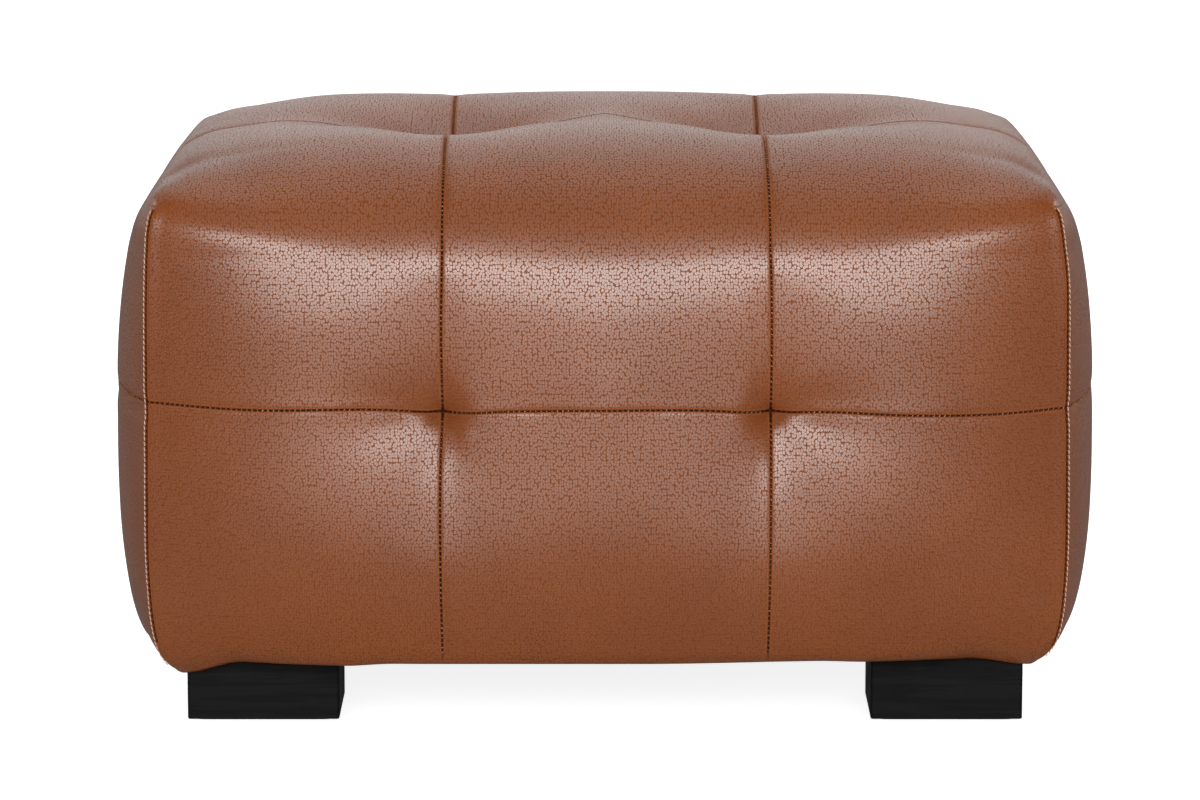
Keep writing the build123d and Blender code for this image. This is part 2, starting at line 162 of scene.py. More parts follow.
# one entry for each row of a wall: height, half width, corner half width, share of the sag
wallRows = [(h[2], h[0], h[1], h[3]) for h in coverForm["hem"]]
sagFrom, sagOver = coverForm["sagFade"]
for z in np.concatenate([lowerZ, upperZ[1:]]):
    half = float(smoothCurve(coverForm["wall"], 1, z))
    corner = float(smoothCurve(coverForm["wall"], 2, z))
    sag = float(easeIn(1 - (z - sagFrom) / sagOver))
    wallRows.append((z, half, corner, sag))
hemRows = len(coverForm["hem"])
seamRow = hemRows + coverForm["lowerRows"]
edgeRow = len(wallRows) - 1
topRows = 2 * coverForm["halfTopRows"]
middleRow = edgeRow + coverForm["halfTopRows"]
lastRow = 2 * edgeRow + topRows

# columns across the front: outer, middle and outer again, slightly closer near the corners
outerShare = np.linspace(0, 1, coverForm["outerColumns"] + 1) ** coverForm["columnCrowding"]
middleShare = np.linspace(-1, 1, coverForm["middleColumns"] + 1)
leftColumn = coverForm["outerColumns"]
rightColumn = leftColumn + coverForm["middleColumns"]
lastColumn = rightColumn + coverForm["outerColumns"]


def spreadColumns(halfLength):
    # x of every column of a row whose corners are at plus and minus this length
    right = seamX + (halfLength - seamX) * outerShare
    return np.concatenate([-right[::-1], seamX * middleShare[1:-1], right])


def dropAt(distance, column=2):
    return smoothCurve(coverForm["shoulder"], column, np.abs(distance))


inset = coverForm["depthInset"]
edgeHalf, edgeCorner = wallRows[edgeRow][1], wallRows[edgeRow][2]

fineY = np.linspace(0, edgeHalf - inset, 300)
rowShare = evenAlong(fineY, -dropAt(fineY + inset), coverForm["halfTopRows"]) / (edgeHalf - inset)
depthShare = np.concatenate([-rowShare[::-1], rowShare[1:]])  # from the front to the back


def topHeight(x, y):
    dropX, dropY = dropAt(x, 1), dropAt(np.abs(y) + inset)
    (riseX, riseY), (fadeFrom, fadeOver) = coverForm["domeRise"], coverForm["domeFade"]
    across = easeIn(dropX / riseX) * (1 - easeIn((dropX - fadeFrom) / fadeOver))
    along = easeIn(dropY / riseY) * (1 - easeIn((dropY - fadeFrom) / fadeOver))
    power = coverForm["shoulderPower"]
    return crown - (dropX**power + dropY**power) ** (1 / power) - coverForm["domeDrop"] * across * along


def turnedIn(share, z=edgeZ):
    # 0 along the flat of a wall, 1 at its corner seam
    flat, (low, high) = coverForm["flatShare"], coverForm["turnPower"]
    power = low + (high - low) * easeIn((z - coverForm["turnFrom"]) / (edgeZ - coverForm["turnFrom"]))
    return np.clip((np.abs(share) - flat) / (1 - flat), 0, 1) ** power


def sagAt(place, corner):
    # how far the hem hangs: most at its corners, a little over the feet
    near = easeIn((np.abs(place) - (corner - coverForm["sagReach"])) / coverForm["sagReach"])
    footReach, footOver = coverForm["footReach"]
    over = easeIn((np.abs(place) - (corner - footReach)) / footOver)
    return (coverForm["cornerSag"] - coverForm["footSag"]) * near + coverForm["footSag"] * over


def frontRow(z, half, corner, sag):
    x = spreadColumns(corner)
    y = -(half - inset - (half - corner) * turnedIn(x / corner, z))
    lean = np.where(x < 0, coverForm["leftSag"], coverForm["rightSag"])
    most, liftFrom, liftOver = coverForm["rightLift"]
    lift = most * easeIn((x - liftFrom) / liftOver)
    return np.stack([x, y, z - (sagAt(x, corner) * lean - lift) * sag], 1)


def sideRow(z, half, corner, sag, sign):
    y = depthShare * (corner - inset)
    x = half - (half - corner) * turnedIn(depthShare, z)
    lean, lift = (coverForm["leftSag"], 0) if sign < 0 else (coverForm["rightSag"], coverForm["rightLift"][0])
    return np.stack([x * sign, y, z - (sagAt(y, corner - inset) * lean - lift) * sag], 1)


# strip: up the front, over the top and down the back; sides: each wall from its front to its back corner
strip = np.zeros((lastRow + 1, lastColumn + 1, 3))
sides = {-1: np.zeros((edgeRow + 1, topRows + 1, 3)), 1: np.zeros((edgeRow + 1, topRows + 1, 3))}
for row, section in enumerate(wallRows):
    strip[row] = frontRow(*section)
    strip[lastRow - row] = strip[row] * (1, -1, 1)
    for sign, wall in sides.items():
        wall[row] = sideRow(*section, sign)
for step, share in enumerate(depthShare):
    edgeX = edgeHalf - (edgeHalf - edgeCorner) * float(turnedIn(share))
    x = spreadColumns(edgeX)
    bulge = (edgeHalf - edgeCorner) * turnedIn(x / edgeX)
    y = share * (edgeHalf - inset - bulge)
    strip[edgeRow + step] = np.stack([x, y, topHeight(x, y)], 1)

# hand sewn seams: how far they wander from their true lines, along the front and up its two columns
seamWander = {
    "lift": [
        (-375, 6), (-300, 3.5), (-180, 3.8), (-132, 0.3), (-80, 2.8), (0, 4.4), (80, 3.6), (132, 0.6), (180, 2),
        (240, 0), (310, -1.2), (378, 1.5),
    ],
    "liftReach": 55,
    "leftShift": [(50, 0), (150, -1.2), (220, -1), (266, 0.6), (330, 0), (400, 1.2), (440, 1.4), (480, 0)],
    "rightShift": [(50, 0.4), (120, 1.6), (266, 2.2), (370, 1.8), (420, 0.3), (480, 0)],
    "shiftReach": 70,
    "rightCorner": 3,
    "cornerFrom": ((250, 120), (180, 90)),  # from and over which x and y the right corners stand out
    "cornerTop": (415, 50),  # and below which height
}


def wandered(at):
    at = at.copy()
    lift = smoothCurve(seamWander["lift"], 1, at[..., 0]) * hump(at[..., 2], seamZ, seamWander["liftReach"])
    for key, line in (("leftShift", -seamX), ("rightShift", seamX)):
        near = hump(at[..., 0], line, seamWander["shiftReach"])
        at[..., 0] += near * smoothCurve(seamWander[key], 1, at[..., 2])
    ((fromX, overX), (fromY, overY)), (topZ, overZ) = seamWander["cornerFrom"], seamWander["cornerTop"]
    corner = easeIn((at[..., 0] - fromX) / overX) * easeIn((topZ - at[..., 2]) / overZ)
    at[..., 0] += seamWander["rightCorner"] * corner * easeIn((np.abs(at[..., 1]) - fromY) / overY)
    at[..., 2] += lift
    return at


# one list of points for the whole cover, shared along the edges where strip and sides meet
stripIndex = np.arange(strip[..., 0].size).reshape(strip.shape[:2])
points = [strip.reshape(-1, 3)]
sideIndex = {}
used = stripIndex.size
for name, sign, column in (("left", -1, 0), ("right", 1, lastColumn)):
    index = np.full((edgeRow + 1, topRows + 1), -1)
    index[:, 0] = stripIndex[: edgeRow + 1, column]
    index[:, -1] = stripIndex[lastRow - edgeRow:, column][::-1]
    index[-1] = stripIndex[edgeRow: edgeRow + topRows + 1, column]
    free = index < 0
    index[free] = used + np.arange(free.sum())
    used += free.sum()
    points.append(sides[sign][free])
    sideIndex[name] = index
points = np.concatenate(points)


def gridQuads(index, flip):
    a, b, c, d = index[:-1, :-1], index[:-1, 1:], index[1:, 1:], index[1:, :-1]
    quads = np.stack([a, b, c, d], -1).reshape(-1, 4)
    return quads[:, ::-1] if flip else quads


quads = np.concatenate([
    gridQuads(stripIndex, False), gridQuads(sideIndex["left"], True), gridQuads(sideIndex["right"], False),
])
edges = np.unique(np.sort(np.concatenate([quads[:, [i, (i + 1) % 4]] for i in range(4)]), 1), axis=0)
neighbourCount = np.bincount(edges.ravel(), minlength=len(points)).astype(float)


def pointNormals(at):
    across = np.cross(at[quads[:, 2]] - at[quads[:, 0]], at[quads[:, 3]] - at[quads[:, 1]])
    total = np.zeros_like(at)
    for corner in range(4):
        np.add.at(total, quads[:, corner], across)
    return total / np.linalg.norm(total, axis=1, keepdims=True)


def relaxed(at, weights, rounds):
    at = at.copy()
    for _ in range(rounds):
        total = np.zeros_like(at)
        np.add.at(total, edges[:, 0], at[edges[:, 1]])
        np.add.at(total, edges[:, 1], at[edges[:, 0]])
        at += weights[:, None] * (total / neighbourCount[:, None] - at)
    return at


# soften the shoulder's edge, but keep the corner seams where they are
softRows, most, fall, rounds = coverForm["softEdge"]
softness = np.zeros(len(points))
for offset in range(-softRows, softRows + 1):
    amount = most - fall * abs(offset)
    softness[stripIndex[edgeRow + offset]] = amount
    softness[stripIndex[lastRow - edgeRow + offset]] = amount
    if offset <= 0:
        for index in sideIndex.values():
            softness[index[edgeRow + offset]] = np.maximum(softness[index[edgeRow + offset]], amount)
for column in (0, lastColumn):
    softness[stripIndex[:edgeRow, column]] = 0
    softness[stripIndex[lastRow - edgeRow + 1:, column]] = 0
points = wandered(relaxed(points, softness, rounds))
print("cover form laid out:", len(points), "points")

# Tufts and seam valleys
tuftForm = {
    "sharpReach": 17,
    "starriness": 0.3,  # how much further the hollow runs along the seams than between them
    # towards the middle column the front's and back's hollows are sharper and then wider
    "innerSharp": 0.8,
    "innerReach": 125,
    "innerShare": 0.75,
    "innerBlend": 30,
    "foldHeight": 0.2,
    "folds": (9, 1.3),  # how many round a tuft, and how far they turn from one tuft to the next
    "foldPlace": (26, 16),
    # depth, share of it that is drawn in sharply, reach of the rest
    "front": (28, 0.46, 88),
    "side": (26, 0.35, 75),
    "top": (37.5, 0.24, 95),
}
valleyForm = {
    "wallDepth": 1.7,
    "topColumnDepth": 2.6,
    "topLengthDepth": 2.2,
    "reach": 9,
    "topFrom": (400, 60),  # from and over which height the top's depths hold
    "facing": 0.75,  # a wall that faces an axis this much has no valley along it
    "hemFade": 20,
}

tufts = []
for sx in (-1, 1):
    for sy in (-1, 1):
        tufts.append({
            "place": stripIndex[seamRow if sy < 0 else lastRow - seamRow, leftColumn if sx < 0 else rightColumn],
            "form": tuftForm["front"], "axes": ((1, 0, 0), (0, 0, 1)), "inward": (-sx, 0, 0),
        })
    tufts.append({
        "place": stripIndex[middleRow, leftColumn if sx < 0 else rightColumn],
        "form": tuftForm["top"], "axes": ((1, 0, 0), (0, 1, 0)), "inward": (0, 0, 0),
    })
    tufts.append({
        "place": sideIndex["left" if sx < 0 else "right"][seamRow, topRows // 2],
        "form": tuftForm["side"], "axes": ((0, 1, 0), (0, 0, 1)), "inward": (0, 0, 0),
    })


def tuftHollow(at, tuft, centre):
    offset = at - centre
    away = np.linalg.norm(offset, axis=1) + 1e-6
    first, second = (np.array(axis, float) for axis in tuft["axes"])
    angle = np.arctan2(offset @ second, offset @ first)
    between = 0.5 - 0.5 * np.cos(4 * angle)  # 0 along the seams, 1 halfway between them
    towards = np.clip(offset @ np.array(tuft["inward"], float), 0, None)
    inward = easeIn(towards / tuftForm["innerBlend"])
    depth, share, reach = tuft["form"]
    r = away * (1 + tuftForm["starriness"] * between)
    sharp = np.exp(-r * (1 + tuftForm["innerSharp"] * inward) / tuftForm["sharpReach"])
    innerShare = tuftForm["innerShare"]
    wide = innerShare * hump(away, 0, tuftForm["innerReach"]) + (1 - innerShare) * sharp
    soft = hump(r, 0, reach) * (1 - inward) + wide * inward
    foldCount, foldTurn = tuftForm["folds"]
    folds = np.sin(foldCount * angle + foldTurn * tuft["place"]) * hump(away, *tuftForm["foldPlace"])
    return depth * (share * sharp + (1 - share) * soft) + tuftForm["foldHeight"] * folds


normals = pointNormals(points)
hollow = np.zeros(len(points))
for tuft in tufts:
    hollow = np.maximum(hollow, tuftHollow(points, tuft, points[tuft["place"]]))
topFrom, topOver = valleyForm["topFrom"]
topness = easeIn((points[:, 2] - topFrom) / topOver)
wallDepth, reach = valleyForm["wallDepth"], valleyForm["reach"]
columnDepth, lengthDepth = (
    wallDepth + (valleyForm[key] - wallDepth) * topness for key in ("topColumnDepth", "topLengthDepth")
)
endWall, frontWall = (np.abs(normals[:, axis]) > valleyForm["facing"] for axis in (0, 1))
columnValley = np.where(endWall, 0, columnDepth * hump(np.abs(points[:, 0]), seamX, reach))
lengthValley = np.where(frontWall, 0, lengthDepth * hump(points[:, 1], 0, reach))
roundValley = wallDepth * hump(points[:, 2], seamZ, reach)
depth = np.maximum.reduce([hollow, columnValley, lengthValley, roundValley])
depth = depth * easeIn((points[:, 2] - underside) / valleyForm["hemFade"])
shaped = points - normals * depth[:, None]
print("tufts drawn in")

# The cover is inflated between its seams with a cloth simulation
inflation = {
    "pressure": 4,
    "frames": 20,
    "stiffness": 45,
    "bending": 6,
    "most": 6.0,  # millimetres that a point comes out by, however hard it is blown
}
pinned = np.zeros(len(points))
seamRows = [seamRow, middleRow, lastRow - seamRow]
pinned[stripIndex[seamRows].ravel()] = 1
pinned[stripIndex[:, [leftColumn, rightColumn]].ravel()] = 1
pinned[stripIndex[: hemRows + 1].ravel()] = 1
pinned[stripIndex[lastRow - hemRows:].ravel()] = 1
for index in sideIndex.values():
    pinned[index[: hemRows + 1].ravel()] = 1
    pinned[index[seamRow]] = 1
    pinned[index[:, topRows // 2]] = 1
    pinned[index[:, [0, -1]].ravel()] = 1


def meshFrom(name, at, faces):
    mesh = bpy.data.meshes.new(name)
    faces = faces.tolist() if isinstance(faces, np.ndarray) else faces
    mesh.from_pydata((np.asarray(at) * millimetre).tolist(), [], faces)
    mesh.update()
    return mesh


def inflated(at):
    mesh = meshFrom("coverCloth", at, quads)
    cloth = bpy.data.objects.new("coverCloth", mesh)
    bpy.context.scene.collection.objects.link(cloth)
    group = cloth.vertex_groups.new(name="seams")
    group.add([int(i) for i in np.nonzero(pinned)[0]], 1.0, "REPLACE")
    modifier = cloth.modifiers.new("puff", "CLOTH")
    settings = modifier.settings
    settings.vertex_group_mass = "seams"
    settings.use_pressure = True
    settings.uniform_pressure_force = inflation["pressure"]
    settings.tension_stiffness = settings.compression_stiffness = inflation["stiffness"]
    settings.bending_stiffness = inflation["bending"]
    settings.effector_weights.gravity = 0
    for step in range(1, inflation["frames"] + 1):
        bpy.context.scene.frame_set(step)
    result = cloth.evaluated_get(bpy.context.evaluated_depsgraph_get()).to_mesh()
    moved = np.zeros(len(at) * 3)
    result.vertices.foreach_get("co", moved)
    moved = moved.reshape(-1, 3) / millimetre
    bpy.data.objects.remove(cloth)
    bpy.data.meshes.remove(mesh)
    bpy.context.scene.frame_set(1)
    return moved


change = inflated(shaped) - shaped
size = np.linalg.norm(change, axis=1, keepdims=True)
print("cloth moved the cover by up to", round(float(size.max()), 1), "mm")
shaped = shaped + change * inflation["most"] / (inflation["most"] + size)
print("cover inflated")

# Seams, on fine grids; pairs are a place and a reach, measured from the seam
seamForm = {
    "roundness": 1.6,  # radius of the leather's edge where it turns into a seam
    "slit": 1.9,  # depth of the seam's bottom
    "slitWidth": 0.3,
    "welt": 0.3,
    "weltPlace": (4.2, 2.4),
    "pinch": 1.6,
    "pinchReach": 6,
    "ridge": 0.8,  # the side panels' edges stand up beside the corner seams
    "ridgePlace": (1.7, 1.1),
    "turnedIn": 0.25,  # deeper than this the leather belongs to the seam
    "stitchPitch": 4.4,
    "pucker": 0.12,
    "puckerPlace": (1.6, 1.5),
    "hemFade": (2, 10),  # from and over which height above the underside the seams come in
    "cornerFade": 0.45,  # rows over which the corner seams end
    "cornerReach": 3.5,
    "plainGap": 30.0,  # the distance that stands for no seam nearby
    "otherWall": 200.0,  # and for a seam beyond the shoulder's edge
    "joinCell": 0.02,
    "steps": [0, 0.22, 0.4, 0.7, 1.15, 1.8, 2.8, 4.4],
}


def curveWeights(at, count, slope=False):
    # Catmull-Rom weights of a padded row of points, for its places or its slopes
    at = np.asarray(at, float)
    i = np.clip(np.floor(at).astype(int), 0, count - 1)
    t = at - i
    if slope:
        w = [-1.5 * t**2 + 2 * t - 0.5, 4.5 * t**2 - 5 * t, -4.5 * t**2 + 4 * t + 0.5, 1.5 * t**2 - t]
    else:
        w = [
            -0.5 * t**3 + t**2 - 0.5 * t, 1.5 * t**3 - 2.5 * t**2 + 1, -1.5 * t**3 + 2 * t**2 + 0.5 * t,
            0.5 * t**3 - 0.5 * t**2,
        ]
    table = np.zeros((len(at), count + 3))
    for k in range(4):
        table[np.arange(len(at)), i + k] += w[k]
    return table


def padGrid(grid):
    padded = np.zeros((grid.shape[0] + 2, grid.shape[1] + 2, 3))
    padded[1:-1, 1:-1] = grid
    padded[0, 1:-1] = 2 * grid[0] - grid[1]
    padded[-1, 1:-1] = 2 * grid[-1] - grid[-2]
    padded[:, 0] = 2 * padded[:, 1] - padded[:, 2]
    padded[:, -1] = 2 * padded[:, -2] - padded[:, -3]
    return padded


stripGrid = shaped[stripIndex]
sideGrids = {name: shaped[index] for name, index in sideIndex.items()}
fineStrip = padGrid(stripGrid)
for name, ghostColumn in (("left", 0), ("right", -1)):
    fineStrip[1: edgeRow + 1, ghostColumn] = sideGrids[name][:edgeRow, 1]
    fineStrip[edgeRow + 1: edgeRow + topRows + 2, ghostColumn] = sideGrids[name][edgeRow - 1]
    fineStrip[edgeRow + topRows + 2: -1, ghostColumn] = sideGrids[name][:edgeRow, -2][::-1]
fineSides = {}
for name, inner, column in (("left", 1, 0), ("right", -2, -1)):
    padded = padGrid(sideGrids[name])
    padded[1:-2, 0] = stripGrid[:edgeRow, inner]
    padded[1:-2, -1] = stripGrid[lastRow - edgeRow + 1:, inner][::-1]
    padded[-1, 1:-1] = stripGrid[edgeRow: edgeRow + topRows + 1, inner]
    padded[-2, 0] = stripGrid[edgeRow - 1, column]
    padded[-2, -1] = stripGrid[lastRow - edgeRow + 1, column]
    fineSides[name] = padded


def smoothSurface(padded, rowsAt, columnsAt, sign):
    rowCount, columnCount = padded.shape[0] - 3, padded.shape[1] - 3
    rowWeights, columnWeights = curveWeights(rowsAt, rowCount), curveWeights(columnsAt, columnCount)
    rowSlopes, columnSlopes = curveWeights(rowsAt, rowCount, True), curveWeights(columnsAt, columnCount, True)
    at = np.einsum("ir,rck,jc->ijk", rowWeights, padded, columnWeights, optimize=True)
    alongRow = np.einsum("ir,rck,jc->ijk", rowSlopes, padded, columnWeights, optimize=True)
    alongColumn = np.einsum("ir,rck,jc->ijk", rowWeights, padded, columnSlopes, optimize=True)
    normal = np.cross(alongColumn, alongRow) * sign
    return at, normal / np.linalg.norm(normal, axis=2, keepdims=True)


def stepLength(grid, axis, index):
    # mean length of the grid's step from one row or column to the next
    a, b = np.take(grid, index, axis), np.take(grid, index + 1, axis)
    return float(np.linalg.norm(a - b, axis=1).mean())


def denseSteps(start, end, startLength, endLength, startSeam, endSeam, perStep=2):
    # places between two grid lines, closer beside a seam, with the distance to each end in millimetres
    first = start + np.array(seamForm["steps"]) / startLength if startSeam else np.array([start])
    last = end - np.array(seamForm["steps"])[::-1] / endLength if endSeam else np.array([end])
    inner = np.arange(start * perStep + 1, end * perStep) / perStep
    inner = inner[(inner > first[-1] + 0.2) & (inner < last[0] - 0.2)]
    at = np.concatenate([first, inner, last])
    return at, (at - start) * startLength, (end - at) * endLength


def seamDepth(distance):
    # the leather's edge rounds over and turns in
    r = seamForm["roundness"]
    d = np.clip(distance, 0, r)
    rounded = r - np.sqrt(np.maximum(r * r - (r - d) ** 2, 0))
    slit = (seamForm["slit"] - r) * np.clip(1 - distance / seamForm["slitWidth"], 0, 1)
    return rounded + slit - seamForm["welt"] * hump(distance, *seamForm["weltPlace"])


def runAlong(at):
    # length from the start of a line of points to each of them
    return np.concatenate([[0], np.cumsum(np.linalg.norm(np.diff(at, axis=0), axis=1))])


def sharedStep(stripRow, axis, sideStep):
    # mean step where the strip and a side wall are cut alike
    return 0.5 * (stepLength(stripGrid, 0, stripRow) + stepLength(sideGrids["left"], axis, sideStep))


tuftPlaces = np.array([shaped[t["place"]] for t in tufts])
topStep = sharedStep(middleRow - 1, 1, topRows // 2 - 1)
apexStep = sharedStep(edgeRow, 1, 0)
seamBelow = sharedStep(seamRow - 1, 0, seamRow - 1)
seamAbove = sharedStep(seamRow, 0, seamRow)
cornerSide = stepLength(stripGrid[: edgeRow + 1], 1, 0)
outerSide = stepLength(stripGrid, 1, leftColumn - 1)
middleSide = stepLength(stripGrid, 1, leftColumn)


def cornerNormalsFor(name, backSide):
    # normals halfway between a front or back wall and the side wall, all along their corner seam
    column = 0 if name == "left" else lastColumn
    sideColumnAt = topRows if backSide else 0
    sign = -1 if name == "left" else 1

    def normalsAt(rowsAt):
        rowsAt = np.clip(rowsAt, 0, edgeRow)
        stripRows = lastRow - rowsAt if backSide else rowsAt
        _, one = smoothSurface(fineStrip, stripRows, [column], 1)
        _, other = smoothSurface(fineSides[name], rowsAt, [sideColumnAt], sign)
        total = one[:, 0] + other[:, 0]
        return total / np.linalg.norm(total, axis=1, keepdims=True)

    return normalsAt


nearCells = sorted(product((-1, 0, 1), repeat=3), key=any)  # a cell of space first, then its neighbours


def addPiece(name, mesh, finish, replaced=(), smooth=True):
    # a mesh with its finish, as a piece of the one body
    if smooth:
        mesh.polygons.foreach_set("use_smooth", np.ones(len(mesh.polygons), bool))
    mesh.materials.append(finish)
    piece = bpy.data.objects.new(name, mesh)
    bpy.context.scene.collection.objects.link(piece)
    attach(piece, "root")
    if replaced:
        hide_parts(*replaced)
    return piece


def keepValues(mesh, label, values):
    # one value for each point, for the materials
    mesh.attributes.new(label, "FLOAT", "POINT").data.foreach_set("value", np.asarray(values, np.float32))


def addPanel(name, parts, replaced):
    # a panel's sheets joined into one mesh, with the distance to the nearest seam kept for its material
    starts = np.cumsum([0] + [len(part[0]) for part in parts])
    faces = np.concatenate([part[1] + start for part, start in zip(parts, starts)])
    at, gap, run = (np.concatenate([part[k] for part in parts]) for k in (0, 2, 3))
    if len(parts) > 1:
        # points of the second sheet that lie on the first become the same point
        cells = np.round(at / seamForm["joinCell"]).astype(int)
        onFirst = {tuple(cell): i for i, cell in enumerate(cells[:starts[1]])}
        target = np.arange(len(at))
        for i in range(starts[1], len(at)):
            found = (onFirst.get(tuple(cells[i] + shift)) for shift in nearCells)
            target[i] = next((other for other in found if other is not None), i)
        keep = target == np.arange(len(at))
        faces = (np.cumsum(keep) - 1)[target[faces]]
        at, gap, run = at[keep], gap[keep], run[keep]
        print("  ", name, "joined at", int((~keep).sum()), "points")
    mesh = meshFrom(name, at, faces)
    keepValues(mesh, "seamDistance", gap)
    keepValues(mesh, "seamRun", run)
    addPiece(name, mesh, leather, replaced)


def newGroup(name, inputs, outputs):
    # an effect as a node group: named inputs with their usual values, and outputs that are plain values
    group = bpy.data.node_groups.new(name, "ShaderNodeTree")
    for label, value in inputs.items():
        kind = "NodeSocketVector" if isinstance(value, tuple) else "NodeSocketFloat"
        group.interface.new_socket(name=label, in_out="INPUT", socket_type=kind).default_value = value
    for label in outputs:
        group.interface.new_socket(name=label, in_out="OUTPUT", socket_type="NodeSocketFloat")
    return group, group.nodes.new("NodeGroupInput").outputs, group.nodes.new("NodeGroupOutput").inputs


def feed(tree, socket, value):
    # links another node's output to an input, or sets the input to a plain value
    if isinstance(value, bpy.types.NodeSocket):
        tree.links.new(value, socket)
    else:
        socket.default_value = value


def addNode(tree, kind, settings=(), **values):
    # a node with its settings; i0, i1 and so on feed its inputs by number, other words by name
    node = tree.nodes.new(kind)
    for key, value in dict(settings).items():
        setattr(node, key, value)
    for key, value in values.items():
        place = int(key[1:]) if key[0] == "i" and key[1:].isdigit() else key.replace("_", " ")
        feed(tree, node.inputs[place], value)
    return node


def mathNode(tree, operation, first, second=0.0, third=0.0, clamp=False):
    settings = {"operation": operation, "use_clamp": clamp}
    return addNode(tree, "ShaderNodeMath", settings, i0=first, i1=second, i2=third).outputs[0]


def vectorMath(tree, operation, *vectors):
    inputs = {f"i{k}": vector for k, vector in enumerate(vectors)}
    return addNode(tree, "ShaderNodeVectorMath", {"operation": operation}, **inputs).outputs[0]


def mixColours(tree, share, first, second):
    node = tree.nodes.new("ShaderNodeMix")
    node.data_type = "RGBA"
    feed(tree, node.inputs[0], share)
    for index, colour in ((6, first), (7, second)):
        feed(tree, node.inputs[index], (*colour, 1) if isinstance(colour, tuple) else colour)
    return node.outputs[2]


def stretched(tree, value, low, high, newLow=0.0, newHigh=1.0):
    return addNode(
        tree, "ShaderNodeMapRange", {"interpolation_type": "SMOOTHSTEP"},
        i0=value, i1=low, i2=high, i3=newLow, i4=newHigh,
    ).outputs[0]


def objectCoordinates(tree):
    return addNode(tree, "ShaderNodeTexCoord").outputs["Object"]


def savedValue(tree, label):
    return addNode(tree, "ShaderNodeAttribute", {"attribute_name": label}).outputs["Fac"]


def noise(tree, place, scale, detail=2.0, **more):
    return addNode(tree, "ShaderNodeTexNoise", Vector=place, Scale=scale, Detail=detail, **more).outputs


# Leather grain: pebbles with creases between them, over finer wrinkles. The pattern lies in the plane
# that each part of the surface faces most, so that the pebbles stay the same size all over.
grainForm = {
    "randomness": 0.75,
    "wander": 0.0016,  # how far the pebbles stray, in metres
    "wanderScale": 90.0,
    "topFrom": 0.86,  # how much a surface faces up before it takes the top's plane
    "topRagged": 0.3,
    "dome": (0.0, 0.26),  # from a pebble's edge inwards
    "lines": (0.02, 0.15),
    "pits": (0.42, 0.62),  # from a pebble's middle outwards
    "lineShare": 0.4,
    "pitShare": 0.8,
    "fineScale": 1500.0,
    "patchScale": 14.0,
    "patches": (0.35, 0.65, 0.7, 1.0),  # low and high noise, and the height there
}
grainGroup, entry, leave = newGroup(
    "Leather grain",
    {"Pebbles Per Metre": 470.0, "Lengthen": (1.0, 0.8, 1.0), "Fine Share": 0.1},
    ("Height", "Crease"),
)
tree = grainGroup
coordinates = addNode(tree, "ShaderNodeTexCoord").outputs
place = coordinates["Object"]
broad = noise(tree, place, grainForm["wanderScale"])
facing = addNode(tree, "ShaderNodeSeparateXYZ", Vector=vectorMath(tree, "ABSOLUTE", coordinates["Normal"])).outputs
across = addNode(tree, "ShaderNodeSeparateXYZ", Vector=place).outputs
upward = mathNode(tree, "MULTIPLY_ADD", broad["Fac"], grainForm["topRagged"], facing["Z"])
onTop = mathNode(tree, "GREATER_THAN", upward, grainForm["topFrom"])
onEnd = mathNode(tree, "GREATER_THAN", facing["X"], facing["Y"])
onEnd = mathNode(tree, "MULTIPLY", onEnd, mathNode(tree, "SUBTRACT", 1.0, onTop))


def chosen(tree, share, first, second):
    return mathNode(tree, "MULTIPLY_ADD", mathNode(tree, "SUBTRACT", second, first), share, first)


flatPlace = addNode(
    tree, "ShaderNodeCombineXYZ", X=chosen(tree, onEnd, across["X"], across["Y"]),
    Y=chosen(tree, onTop, across["Z"], across["Y"]),
).outputs[0]
stray = (grainForm["wander"], grainForm["wander"], 0.0)
pebblePlace = vectorMath(tree, "MULTIPLY_ADD", broad["Color"], stray, flatPlace)
pebblePlace = vectorMath(tree, "MULTIPLY", pebblePlace, entry["Lengthen"])
toEdge, toMiddle = (
    addNode(
        tree, "ShaderNodeTexVoronoi", {"voronoi_dimensions": "2D", "feature": feature}, Vector=pebblePlace,
        Scale=entry["Pebbles Per Metre"], Randomness=grainForm["randomness"],
    ).outputs["Distance"]
    for feature in ("DISTANCE_TO_EDGE", "F1")
)
dome = stretched(tree, toEdge, *grainForm["dome"])
lines = stretched(tree, toEdge, *grainForm["lines"], 1.0, 0.0)
pits = mathNode(tree, "MULTIPLY", stretched(tree, toMiddle, *grainForm["pits"]), grainForm["pitShare"])
# the creases: dirt and painted shade in the colour, more roughness and less coat
creaseDirtAndShade = mathNode(tree, "MULTIPLY_ADD", lines, grainForm["lineShare"], pits, clamp=True)
fine = noise(tree, place, grainForm["fineScale"], Roughness=0.5)
height = mathNode(tree, "MULTIPLY_ADD", fine["Fac"], entry["Fine Share"], dome)
patches = stretched(tree, noise(tree, place, grainForm["patchScale"])["Fac"], *grainForm["patches"])
feed(tree, leave["Height"], mathNode(tree, "MULTIPLY", height, patches))
feed(tree, leave["Crease"], creaseDirtAndShade)

# Slow changes of tone, used by every finish
toneGroup, entry, leave = newGroup("Tone changes", {"Scale": 12.0, "Low": 0.35, "High": 0.65}, ("Mask",))
tree = toneGroup
tone = noise(tree, objectCoordinates(tree), entry["Scale"], 4.0, Roughness=0.55)
feed(tree, leave["Mask"], stretched(tree, tone["Fac"], entry["Low"], entry["High"]))
